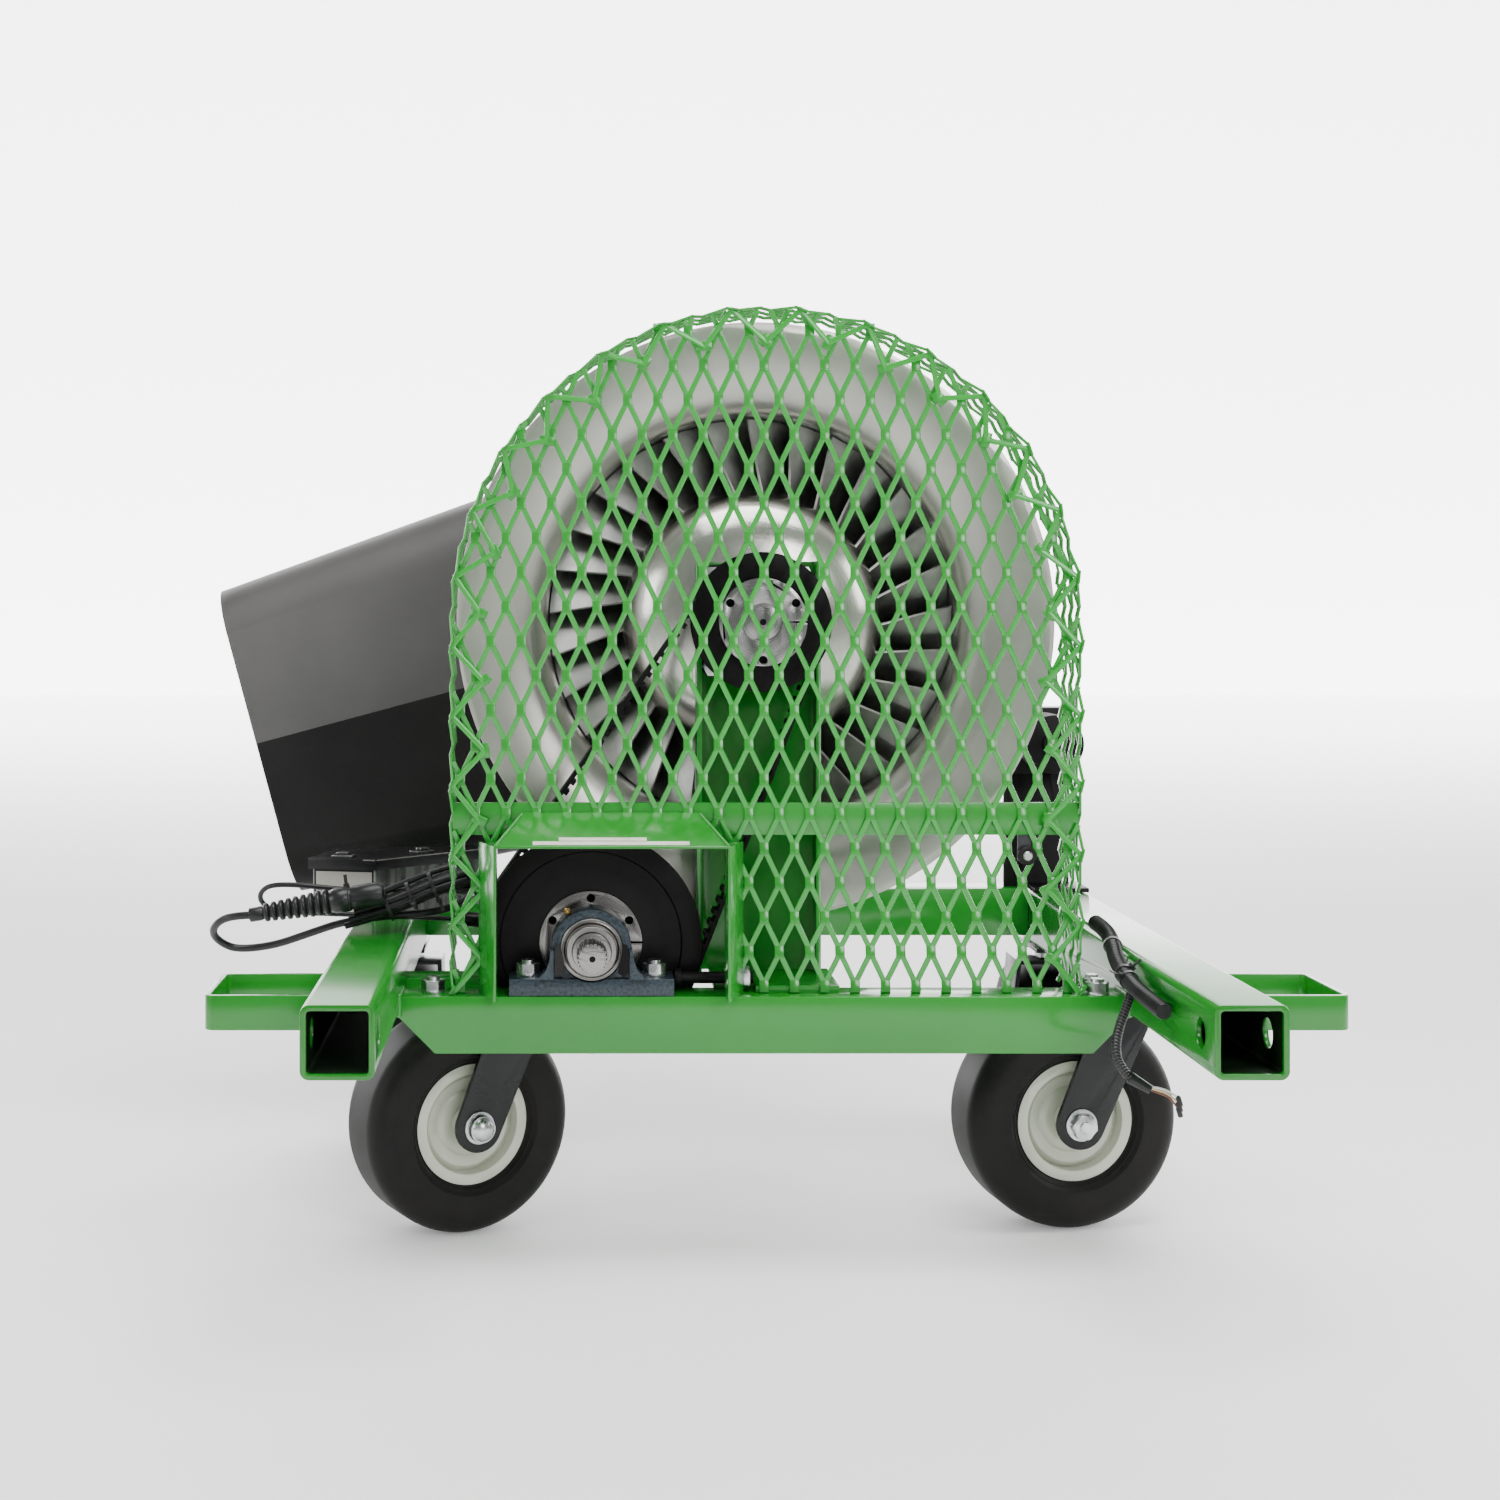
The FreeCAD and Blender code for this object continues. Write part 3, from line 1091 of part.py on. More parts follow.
def inset_plan(points, inset):
    """Outline moved inwards by inset, or outwards if inset is negative; corners run anticlockwise."""
    result = []
    count = len(points)
    for k in range(count):
        ax, ay = points[k - 1]
        bx, by = points[k]
        cx, cy = points[(k + 1) % count]
        d1 = math.hypot(bx - ax, by - ay)
        d2 = math.hypot(cx - bx, cy - by)
        n1 = (-(by - ay) / d1, (bx - ax) / d1)
        n2 = (-(cy - by) / d2, (cx - bx) / d2)
        scale = inset / (1 + n1[0] * n2[0] + n1[1] * n2[1])
        result.append((bx + (n1[0] + n2[0]) * scale, by + (n1[1] + n2[1]) * scale))
    return result


box_z0 = tube_top
box_z1 = box_z0 + BOX_HEIGHT


lid_z0 = box_z1 - LID_HEIGHT + LID_GAP + BOX_SHEET
lid_z1 = box_z1 + LID_GAP + BOX_SHEET
hinge_start = V(*inset_plan(BOX_PLAN, -LID_OVERHANG)[2], lid_z0)
hinge_end = V(*inset_plan(BOX_PLAN, -LID_OVERHANG)[3], lid_z0)
hinge_width = (hinge_end - hinge_start).Length
hinge_way = (hinge_end - hinge_start).normalize()
hinge_out = BOX_HINGE_R + LID_GAP
hinge_middle = (hinge_start + hinge_end) * 0.5 + V(hinge_way.y, -hinge_way.x, 0) * hinge_out


def knuckle(share0, share1, reach, z0, z1):
    """Hinge barrel along a share of the rear edge, with a leaf that reaches in to its own part."""
    x0 = share0 * hinge_width
    x1 = share1 * hinge_width
    barrel = Part.makeCylinder(BOX_HINGE_R, x1 - x0, V(x0, -hinge_out, 0), X_AXIS)
    shape = barrel.fuse(block(x0, x1, -hinge_out, reach, z0, z1))
    shape.rotate(V(0, 0, 0), Z_AXIS, math.degrees(math.atan2(hinge_way.y, hinge_way.x)))
    shape.translate(hinge_start)
    return shape


def control_box():
    outer = prism_z(BOX_PLAN, box_z0, box_z1)
    inner = prism_z(inset_plan(BOX_PLAN, BOX_SHEET), box_z0 + BOX_SHEET, box_z1 + 1)
    leaf = knuckle(0.36, 0.64, LID_OVERHANG + BOX_SHEET / 2, -BOX_HINGE_R, -1)
    return outer.cut(inner).fuse(leaf)


def control_box_lid():
    """Cap that closes over the rim of the box."""
    outer = prism_z(inset_plan(BOX_PLAN, -LID_OVERHANG), lid_z0, lid_z1)
    inner = prism_z(inset_plan(BOX_PLAN, -LID_OVERHANG + BOX_SHEET), lid_z0 - 1, lid_z1 - BOX_SHEET)
    leaves = [knuckle(a, b, BOX_SHEET / 2, 0, BOX_HINGE_R) for a, b in ((0.2, 0.355), (0.645, 0.8))]
    return outer.cut(inner).fuse(leaves)


def box_latches():
    """Two draw latches on the lid's front edges."""
    latches = []
    for (ax, ay), (bx, by), share in ((BOX_PLAN[4], BOX_PLAN[0], 0.45), (BOX_PLAN[0], BOX_PLAN[1], 0.5)):
        cx = ax + (bx - ax) * share
        cy = ay + (by - ay) * share
        heading = math.degrees(math.atan2(by - ay, bx - ax))
        plate = block(cx - 14, cx + 14, cy + 4, cy + 22, lid_z1, lid_z1 + 3)
        hook = block(cx - 8, cx + 8, cy + 6, cy + 16, lid_z1 + 3, lid_z1 + 7)
        latches.append(turned(plate.fuse(hook), heading, cx, cy))
    return group(latches)


pieces["control_box"] = control_box()
pieces["control_box_lid"] = control_box_lid()
pieces["box_latches"] = box_latches()


# ------------------------------------------------------------------ cords
def cord_tube(name, route, diameter):
    """Tube along straight runs joined by tangent arcs, each arc as large as its runs allow."""
    points = [V(*p) for p in route]
    edges = []
    start = points[0]
    radii = []
    for k in range(1, len(points) - 1):
        before = points[k] - points[k - 1]
        after = points[k + 1] - points[k]
        turn = before.getAngle(after)
        reach = 0.45 * min(before.Length, after.Length)
        radius = reach / math.tan(turn / 2)
        radii.append(radius)
        before.normalize()
        after.normalize()
        enter = points[k] - before * reach
        leave = points[k] + after * reach
        inward = (after - before).normalize()
        middle = points[k] + inward * (radius / math.cos(turn / 2) - radius)
        edges.append(Part.LineSegment(start, enter).toShape())
        edges.append(Part.Arc(enter, middle, leave).toShape())
        start = leave
    edges.append(Part.LineSegment(start, points[-1]).toShape())
    path = Part.Wire(edges)
    length = path.Length
    normal = points[1] - points[0]
    disc = Part.Wire(Part.makeCircle(diameter / 2, points[0], normal))
    tube = path.makePipeShell([disc], True, False)
    share = tube.Volume / (math.pi * diameter ** 2 / 4 * length)
    print(name, "length", round(length), "least radius", round(min(radii)), "volume share", round(share, 4))
    return tube


CABLE_ROUTE = [(-397, 617, 410), (-379, 598, 411), (-357, 566, 414), (-347, 524, 416), (-360, 486, 409),
               (-400, 468, 401), (-450, 464, 399), (-504, 468, 391), (-548, 476, 375), (-592, 483, 359),
               (-637, 484, 354), (-656, 474, 364), (-664, 457, 379), (-656, 440, 394), (-637, 430, 404),
               (-614, 429, 405)]
SENSOR_ROUTE = [(-340, 470, 431), (-374, 472, 433), (-424, 473, 430), (-486, 470, 429), (-535, 466, 434),
                (-566, 467, 437), (-593, 470, 436), (-605, 475, 429), (-610, 485, 418), (-605, 495, 407),
                (-593, 500, 400), (-565, 501, 397), (-520, 499, 396), (-460, 496, 394), (-408, 496, 392),
                (-362, 503, 389)]
HARNESS_ROUTE = [(414, 430, 396), (416, 388, 394), (411, 340, 386), (403, 290, 371), (406, 240, 356),
                 (410, 186, 349), (411, 132, 347)]
LEAD_ROUTE = [(404, 237, 346), (396, 229, 330), (387, 223, 311), (382, 219, 291), (384, 216, 272),
              (396, 213, 258)]
pieces["control_cable"] = cord_tube("control_cable", CABLE_ROUTE, CABLE_D)
pieces["sensor_cable"] = cord_tube("sensor_cable", SENSOR_ROUTE, SENSOR_D)
pieces["harness_loom"] = cord_tube("harness_loom", HARNESS_ROUTE, LOOM_D)
pieces["harness_lead"] = cord_tube("harness_lead", LEAD_ROUTE, LEAD_D).cut(pieces["harness_loom"])


def along(start, end, radius_start, radius_end, reach, setback=0.0):
    """Cone or rod from start towards end, beginning setback past start and reach long."""
    a = V(*start)
    heading = (V(*end) - a).normalize()
    base = a + heading * setback
    if abs(radius_start - radius_end) < 0.01:
        return Part.makeCylinder(radius_start, reach, base, heading)
    return Part.makeCone(radius_start, radius_end, reach, base, heading)


def cable_boot():
    """Ribbed boot on the cable's end, widening into the connector's body."""
    toe = CABLE_ROUTE[-1]
    heel = (-430, 428, 428)
    boot = along(toe, heel, CABLE_D / 2 + 1.5, BOOT_D / 2, BOOT_LENGTH)
    body = along(toe, heel, BOOT_D / 2, BOOT_D / 2, CONNECTOR_LENGTH, BOOT_LENGTH)
    return boot.fuse(body)


def cable_fittings():
    """Gland on the control box, plugs on the short cable and the caps on the harness ends."""
    gland_root = (-409.5, 630.5, 410)
    gland = along(gland_root, CABLE_ROUTE[0], CABLE_D / 2 + 5, CABLE_D / 2 + 5,
                  (V(*CABLE_ROUTE[0]) - V(*gland_root)).Length)
    plugs = [along(SENSOR_ROUTE[0], (-300, 466, 429), 9, 9, 34),
             along(SENSOR_ROUTE[-1], (-320, 509, 386), 9, 9, 34),
             along(LEAD_ROUTE[-1], (424, 207, 242), 7, 5, 26).cut(pieces["harness_lead"])]
    return group([gland] + plugs)


pieces["cable_boot"] = cable_boot()
pieces["cable_fittings"] = cable_fittings()

# ------------------------------------------------------------------ origin and files
nozzle_lean = math.radians(NOZZLE_TILT_DEG)
left_end = CAGE_X - NOZZLE_LENGTH * math.cos(nozzle_lean) - NOZZLE_END_HALF * math.sin(nozzle_lean)
right_end = FRAME_WIDTH / 2 + LOOP_REACH
origin_x = (left_end + right_end) / 2
origin_y = (NOZZLE_FRONT + NOZZLE_DEPTH) / 2

os.makedirs("parts", exist_ok=True)
for name, shape in pieces.items():
    shape.translate(V(-origin_x, -origin_y, 0))
    shape.exportStep("parts/" + name + ".step")
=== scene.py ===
import json
import math
import random

import bmesh
import bpy
from mathutils import Matrix, Vector


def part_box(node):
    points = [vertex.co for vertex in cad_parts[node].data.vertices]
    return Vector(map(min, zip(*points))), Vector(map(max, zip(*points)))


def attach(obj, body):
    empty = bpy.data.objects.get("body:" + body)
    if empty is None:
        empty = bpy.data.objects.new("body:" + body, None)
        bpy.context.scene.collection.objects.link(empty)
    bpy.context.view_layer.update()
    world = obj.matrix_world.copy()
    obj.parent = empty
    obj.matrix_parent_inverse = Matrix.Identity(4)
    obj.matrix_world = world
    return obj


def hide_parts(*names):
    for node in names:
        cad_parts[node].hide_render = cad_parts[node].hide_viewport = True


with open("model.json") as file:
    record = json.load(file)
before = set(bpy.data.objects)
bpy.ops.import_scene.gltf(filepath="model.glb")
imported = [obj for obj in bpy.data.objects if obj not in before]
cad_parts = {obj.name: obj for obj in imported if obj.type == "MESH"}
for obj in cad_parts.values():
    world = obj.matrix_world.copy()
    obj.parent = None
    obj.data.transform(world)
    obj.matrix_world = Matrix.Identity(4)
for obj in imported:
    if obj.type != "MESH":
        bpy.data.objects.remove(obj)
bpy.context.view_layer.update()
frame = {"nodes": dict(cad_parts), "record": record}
nodes = frame["nodes"]
body_of = {n: body for body, names in frame["record"]["behaviour"]["bodies"].items() for n in names}
random.seed(7)

# Working places are in millimetres from the right side tube: its outer face is at x = 500, the front ends of
# the tubes are at y = 0 and the ground is at z = 0.
tube_low, tube_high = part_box("side_tube_right")
ZERO = Vector((tube_high.x - 0.5, tube_low.y, 0))


def at(x, y, z):
    return ZERO + Vector((x, y, z)) / 1000


# ---------------------------------------------------------------- camera
# A 50 mm lens at waist height, square to the front rail. The shifts frame the machine low and to one side of
# the lens axis, so its uprights stay upright.
EYE = at(-239, -2100, 794)
camera = bpy.data.objects.new("camera", bpy.data.cameras.new("camera"))
bpy.context.collection.objects.link(camera)
camera.location = EYE
camera.rotation_euler = (math.pi / 2, 0, 0)
camera.data.lens = 49.95
camera.data.shift_x = 0.128
camera.data.shift_y = -0.1033
camera.data.clip_end = 50
bpy.context.scene.camera = camera

# ---------------------------------------------------------------- floor and lights
# A pale sheet floor with a painted glow that rises towards a glowing paper wall well behind the machine, with
# large soft lights above, in front and to both sides.


def plain_material(name, colour, rough, glow=0.0):
    material = bpy.data.materials.new(name)
    material.use_nodes = True
    shader = material.node_tree.nodes["Principled BSDF"]
    shader.inputs["Base Color"].default_value = (*colour, 1)
    shader.inputs["Roughness"].default_value = rough
    shader.inputs["Emission Color"].default_value = (*colour, 1)
    shader.inputs["Emission Strength"].default_value = glow
    return material


def studio_sheet(name, size, place, turn, finish):
    bpy.ops.object.select_all(action="DESELECT")
    bpy.ops.mesh.primitive_plane_add(size=1, location=place, rotation=turn)
    sheet = bpy.context.object
    sheet.name = name
    sheet.scale = (size[0], size[1], 1)
    sheet.data.materials.append(finish)
    return sheet


floor_paint = plain_material("studio_floor_paint", (0.93, 0.93, 0.93), 0.7, 0.16)
floor_tree = floor_paint.node_tree
floor_place = floor_tree.nodes.new("ShaderNodeTexCoord")
floor_depth = floor_tree.nodes.new("ShaderNodeSeparateXYZ")
# Painted glow: the floor's emission rises with depth, from faint near the machine to bright at the wall.
floor_painted_glow = floor_tree.nodes.new("ShaderNodeMapRange")
floor_painted_glow.interpolation_type = "SMOOTHSTEP"
floor_painted_glow.inputs["From Min"].default_value = 1.2 / 60
floor_painted_glow.inputs["From Max"].default_value = 10.0 / 60
floor_painted_glow.inputs["To Min"].default_value = 0.16
floor_painted_glow.inputs["To Max"].default_value = 3.4
floor_tree.links.new(floor_place.outputs["Object"], floor_depth.inputs["Vector"])
floor_tree.links.new(floor_depth.outputs["Y"], floor_painted_glow.inputs["Value"])
floor_tree.links.new(floor_painted_glow.outputs["Result"],
                     floor_tree.nodes["Principled BSDF"].inputs["Emission Strength"])
floor = studio_sheet("studio_floor", (60, 60), (0, 0, 0), (0, 0, 0), floor_paint)
wall = studio_sheet("studio_wall", (60, 16), (0, 14, 8), (math.pi / 2, 0, 0),
                    plain_material("studio_wall_paper", (1, 1, 1), 0.9, 4.0))


def soft_light(name, place, size, power, target=(0, 0, 0.5)):
    light = bpy.data.objects.new(name, bpy.data.lights.new(name, "AREA"))
    light.data.shape = "RECTANGLE"
    light.data.size, light.data.size_y = size
    light.data.energy = power
    light.location = place
    light.rotation_euler = (Vector(target) - Vector(place)).to_track_quat("-Z", "Y").to_euler()
    bpy.context.collection.objects.link(light)


soft_light("overhead_light", (0.2, -0.9, 3.4), (2.6, 1.6), 120)
soft_light("front_light", (1.6, -3.6, 2.3), (1.2, 1.6), 66)
soft_light("left_light", (-3.4, -1.8, 1.7), (1.2, 1.6), 50)
soft_light("right_light", (3.4, -0.6, 1.8), (1.4, 1.4), 45)
world = bpy.data.worlds.new("studio")
world.use_nodes = True
world.node_tree.nodes["Background"].inputs["Color"].default_value = (1, 1, 1, 1)
world.node_tree.nodes["Background"].inputs["Strength"].default_value = 0.4
bpy.context.scene.world = world

# ---------------------------------------------------------------- cables
# Round rubber-jacketed cables that loop out over the left tube, and a corrugated loom with its lead on the
# right. Each is one smooth line through listed points.


def tinted(name, dark, light, scale=9.0, rough=(0.4, 0.6), metal=0.0, grain=300.0, depth=0.15, coat=0.0,
           edge_wear_and_highlight=None,
           detail=4.0, stretch=(1, 1, 1), spec=0.5):
    """Two-tone material: broad cloudy colour, fine grain in the bump and a slightly uneven gloss."""
    material = bpy.data.materials.new(name)
    material.use_nodes = True
    tree = material.node_tree
    shader = tree.nodes["Principled BSDF"]
    shader.inputs["Metallic"].default_value = metal
    shader.inputs["Coat Weight"].default_value = coat
    shader.inputs["Coat Roughness"].default_value = 0.12
    shader.inputs["Specular IOR Level"].default_value = spec
    coordinates = tree.nodes.new("ShaderNodeTexCoord")
    mapping = tree.nodes.new("ShaderNodeMapping")
    mapping.inputs["Scale"].default_value = stretch
    tree.links.new(coordinates.outputs["Object"], mapping.inputs["Vector"])
    clouds = tree.nodes.new("ShaderNodeTexNoise")
    clouds.inputs["Scale"].default_value = scale
    clouds.inputs["Detail"].default_value = detail
    tree.links.new(mapping.outputs["Vector"], clouds.inputs["Vector"])
    ramp = tree.nodes.new("ShaderNodeValToRGB")
    ramp.color_ramp.elements[0].position = 0.32
    ramp.color_ramp.elements[0].color = (*dark, 1)
    ramp.color_ramp.elements[1].position = 0.68
    ramp.color_ramp.elements[1].color = (*light, 1)
    tree.links.new(clouds.outputs["Fac"], ramp.inputs["Fac"])
    colour = ramp.outputs["Color"]
    # Sharp convex edges, found by pointiness, take the edge colour: on the green coat it is a painted edge
    # highlight; on the black iron, black paint and latch steel it lightens their edges.
    if edge_wear_and_highlight:
        edge = tree.nodes.new("ShaderNodeNewGeometry")
        lift = tree.nodes.new("ShaderNodeMapRange")
        lift.inputs["From Min"].default_value = 0.53
        lift.inputs["From Max"].default_value = 0.62
        tree.links.new(edge.outputs["Pointiness"], lift.inputs["Value"])
        mix = tree.nodes.new("ShaderNodeMix")
        mix.data_type = "RGBA"
        mix.inputs["B"].default_value = (*edge_wear_and_highlight, 1)
        tree.links.new(lift.outputs["Result"], mix.inputs["Factor"])
        tree.links.new(colour, mix.inputs["A"])
        colour = mix.outputs["Result"]
    tree.links.new(colour, shader.inputs["Base Color"])
    gloss = tree.nodes.new("ShaderNodeMapRange")
    gloss.inputs["To Min"].default_value = rough[0]
    gloss.inputs["To Max"].default_value = rough[1]
    tree.links.new(clouds.outputs["Fac"], gloss.inputs["Value"])
    tree.links.new(gloss.outputs["Result"], shader.inputs["Roughness"])
    fine = tree.nodes.new("ShaderNodeTexNoise")
    fine.inputs["Scale"].default_value = grain
    fine.inputs["Detail"].default_value = 3.0
    tree.links.new(mapping.outputs["Vector"], fine.inputs["Vector"])
    bump = tree.nodes.new("ShaderNodeBump")
    bump.inputs["Strength"].default_value = depth
    bump.inputs["Distance"].default_value = 0.0006
    tree.links.new(fine.outputs["Fac"], bump.inputs["Height"])
    tree.links.new(bump.outputs["Normal"], shader.inputs["Normal"])
    return material


cable_rubber = tinted("cable_rubber", (0.005, 0.005, 0.006), (0.012, 0.012, 0.013), 40, (0.26, 0.42),
                      grain=900, spec=0.4)


def cord(name, points, thick, finish):
    """Tube on one smooth line through the points' neighbourhood."""
    curve = bpy.data.curves.new(name, "CURVE")
    curve.dimensions = "3D"
    spline = curve.splines.new("NURBS")
    spline.points.add(len(points) - 1)
    for point, place in zip(spline.points, points):
        point.co = (*at(*place), 1)
    spline.order_u = 3
    spline.use_endpoint_u = True
    spline.resolution_u = 8
    curve.bevel_depth = thick / 2000
    curve.bevel_resolution = 5
    curve.use_fill_caps = True
    piece = bpy.data.objects.new(name, curve)
    bpy.context.collection.objects.link(piece)
    curve.materials.append(finish)
    return piece


CABLE_ROUTE = [(-397, 617, 410), (-379, 598, 411), (-357, 566, 414), (-347, 524, 416), (-360, 486, 409),
               (-400, 468, 401), (-450, 464, 399), (-504, 468, 391), (-548, 476, 375), (-592, 483, 359),
               (-637, 484, 354), (-656, 474, 364), (-664, 457, 379), (-656, 440, 394), (-637, 430, 404),
               (-614, 429, 405)]
SENSOR_ROUTE = [(-340, 470, 431), (-374, 472, 433), (-424, 473, 430), (-486, 470, 429), (-535, 466, 434),
                (-566, 467, 437), (-593, 470, 436), (-605, 475, 429), (-610, 485, 418), (-605, 495, 407),
                (-593, 500, 400), (-565, 501, 397), (-520, 499, 396), (-460, 496, 394), (-408, 496, 392),
                (-362, 503, 389)]
HARNESS_ROUTE = [(414, 430, 396), (416, 388, 394), (411, 340, 386), (403, 290, 371), (406, 240, 356),
                 (410, 186, 349), (411, 132, 347)]
LEAD_ROUTE = [(404, 237, 346), (396, 229, 330), (387, 223, 311), (382, 219, 291), (384, 216, 272),
              (396, 213, 258)]
CABLE_THICK = 9.5
SENSOR_THICK = 6.5
LOOM_THICK = 19.0
LEAD_THICK = 10.0

control_cable = cord("control_cable_line", CABLE_ROUTE, CABLE_THICK, cable_rubber)
sensor_cable = cord("sensor_cable_line", SENSOR_ROUTE, SENSOR_THICK, cable_rubber)
harness_lead = cord("harness_lead_line", LEAD_ROUTE, LEAD_THICK, cable_rubber)
harness_loom = cord("harness_loom_line", HARNESS_ROUTE, LOOM_THICK - 2, cable_rubber)
for piece, node in ((control_cable, "control_cable"), (sensor_cable, "sensor_cable"),
                    (harness_lead, "harness_lead"), (harness_loom, "harness_loom")):
    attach(piece, "frame")
    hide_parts(node)

# ---------------------------------------------------------------- painted frame
# Square tube, rectangular rail, flat bar and folded sheet, welded and powder-coated a glossy mid green.
# Every cut edge is broken before coating, and along it runs a thin light line of painted edge highlight, a
# lighter green mixed in on the sharp edges.


def select_only(piece):
    bpy.ops.object.select_all(action="DESELECT")
    piece.select_set(True)
    bpy.context.view_layer.objects.active = piece


def brick(centre, size, finish=None, turn=Matrix.Identity(4)):
    """Plain block of that size in millimetres, turned about its own middle and set on centre."""
    bpy.ops.object.select_all(action="DESELECT")
    bpy.ops.mesh.primitive_cube_add(size=1)
    piece = bpy.context.object
    scale = Matrix.Diagonal((size[0] / 1000, size[1] / 1000, size[2] / 1000, 1))
    piece.data.transform(Matrix.Translation(centre) @ turn @ scale)
    if finish:
        piece.data.materials.append(finish)
    return piece


def frame_of(first, second, third):
    """Rotation whose columns are those three directions."""
    return Matrix((first, second, third)).transposed().to_4x4()


def take_over(node, edge, finish, corner=30.0, soft=38.0, segments=2):
    """Clean copy of a CAD piece with its edges broken; it stands for the CAD piece."""
    source = nodes[node]
    piece = bpy.data.objects.new(node + "_finished", source.data.copy())
    bpy.context.collection.objects.link(piece)
    piece.data.materials.clear()
    piece.data.materials.append(finish)
    select_only(piece)
    bpy.ops.object.mode_set(mode="EDIT")
    bpy.ops.mesh.select_all(action="SELECT")
    bpy.ops.mesh.customdata_custom_splitnormals_clear()
    bpy.ops.mesh.remove_doubles(threshold=0.00002)
    bpy.ops.mesh.dissolve_limited(angle_limit=math.radians(0.6))
    bpy.ops.object.mode_set(mode="OBJECT")
    if edge:
        bevel = piece.modifiers.new("broken_edges", "BEVEL")
        bevel.width = edge / 1000
        bevel.segments = segments
        bevel.limit_method = "ANGLE"
        bevel.angle_limit = math.radians(corner)
        bevel.use_clamp_overlap = True
        bpy.ops.object.modifier_apply(modifier=bevel.name)
    bpy.ops.object.shade_smooth_by_angle(angle=math.radians(soft))
    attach(piece, body_of[node])
    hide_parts(node)
    return piece


def lathe(name, profile, centre, axis, finish, steps=64, soft=35.0):
    """Turned piece: profile is (radius, distance along axis from centre) in millimetres."""
    mesh = bpy.data.meshes.new(name)
    mesh.from_pydata([(r / 1000, 0, z / 1000) for r, z in profile],
                     [(k, k + 1) for k in range(len(profile) - 1)], [])
    piece = bpy.data.objects.new(name, mesh)
    bpy.context.collection.objects.link(piece)
    turn = piece.modifiers.new("turn", "SCREW")
    turn.steps = steps
    turn.render_steps = steps
    turn.use_merge_vertices = True
    turn.merge_threshold = 0.00002
    select_only(piece)
    bpy.ops.object.modifier_apply(modifier=turn.name)
    bpy.ops.object.mode_set(mode="EDIT")
    bpy.ops.mesh.select_all(action="SELECT")
    bpy.ops.mesh.remove_doubles(threshold=0.00001)
    bpy.ops.mesh.normals_make_consistent(inside=False)
    bpy.ops.object.mode_set(mode="OBJECT")
    bpy.ops.object.shade_smooth_by_angle(angle=math.radians(soft))
    piece.data.transform(Matrix.Translation(centre) @ axis.to_track_quat("Z", "Y").to_matrix().to_4x4())
    piece.data.materials.append(finish)
    return piece


def belongs(piece, body, slot, *replaced):
    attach(piece, body)
    if replaced:
        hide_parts(*replaced)
    return piece


def hexagon(name, flats, height, centre, axis, finish, twist=0.0):
    """Bolt head or nut with chamfered corners, standing on centre along axis."""
    bpy.ops.object.select_all(action="DESELECT")
    bpy.ops.mesh.primitive_cylinder_add(vertices=6, radius=flats / math.sqrt(3) / 1000, depth=height / 1000)
    piece = bpy.context.object
    piece.name = name
    cut = piece.modifiers.new("chamfer", "BEVEL")
    cut.width = flats / 22000
    cut.segments = 2
    bpy.ops.object.modifier_apply(modifier=cut.name)
    bpy.ops.object.shade_smooth_by_angle(angle=math.radians(30))
    turn = axis.to_track_quat("Z", "Y").to_matrix().to_4x4() @ Matrix.Rotation(twist, 4, "Z")
    piece.data.transform(Matrix.Translation(centre + axis * height / 2000) @ turn)
    piece.data.materials.append(finish)
    return piece


def bead(name, start, end, size, finish, lumps=None):
    """Weld bead: a row of overlapping ripples from start to end."""
    lumps = lumps or max(3, int((end - start).length * 1000 / size / 0.55))
    copies = []
    for k in range(lumps):
        bpy.ops.object.select_all(action="DESELECT")
        spot = start.lerp(end, (k + 0.5) / lumps)
        bpy.ops.mesh.primitive_uv_sphere_add(segments=12, ring_count=8, radius=size / 1000, location=spot)
        copies.append(bpy.context.object)
    bpy.ops.object.select_all(action="DESELECT")
    for copy in copies:
        copy.select_set(True)
    bpy.context.view_layer.objects.active = copies[0]
    bpy.ops.object.join()
    bpy.ops.object.transform_apply(location=True, rotation=True, scale=True)
    piece = bpy.context.object
    piece.name = name
    bpy.ops.object.shade_smooth()
    piece.data.materials.clear()
    piece.data.materials.append(finish)
    return piece


# Its lighter green on sharp edges is a painted edge highlight.
green_coat = tinted("green_powder_coat", (0.004, 0.150, 0.006), (0.006, 0.185, 0.009), 5, (0.18, 0.28),
                    grain=260,
                    depth=0.08, coat=0.25, edge_wear_and_highlight=(0.02, 0.30, 0.03))
for node, edge in (("side_tube_left", 0.8), ("side_tube_right", 0.8), ("front_rail", 1.2),
                   ("rear_rail", 1.2),
                   ("caster_rail", 1.0), ("tie_loops", 0.8), ("cage_crossbar", 0.8), ("pto_hood", 0.7),
                   ("center_post", 0.8), ("housing_saddle", 0.8)):
    take_over(node, edge, green_coat)

# Weld beads where the front rail, the hood and the tie loops meet their neighbours.
for side, tag in ((-1, "left"), (1, "right")):
    x = side * 423.5
    belongs(bead("rail_weld_" + tag, at(x, 313, 306), at(x, 313, 326), 3.2, green_coat),
            "frame", "frame_green")
    belongs(bead("rail_weld_top_" + tag, at(x, 315, 328.5), at(x, 370, 328.5), 3.0,
                 green_coat), "frame", "frame_green")
    for y in (168, 297):
        belongs(bead("loop_weld_%s_%d" % (tag, y), at(side * 500.5, y, 322),
                     at(side * 500.5, y, 356), 2.6, green_coat), "frame", "frame_green")
for name, a, b in (("hood_weld_left", (-312, 286, 329), (-312, 332, 329)),
                   ("hood_weld_right", (-42, 286, 329), (-42, 332, 329)),
                   ("hood_weld_corner_left", (-310, 286, 507), (-281, 333, 538)),
                   ("hood_weld_corner_right", (-44, 286, 507), (-73, 333, 538))):
    belongs(bead(name, at(*a), at(*b), 2.2, green_coat), "frame", "frame_green")

# Blank pale strips stuck along the lower edge of the hood's sloped top.
strip_vinyl = tinted("strip_vinyl", (0.62, 0.62, 0.52), (0.74, 0.74, 0.64), 40, (0.3, 0.4), grain=500,
                     depth=0.05)


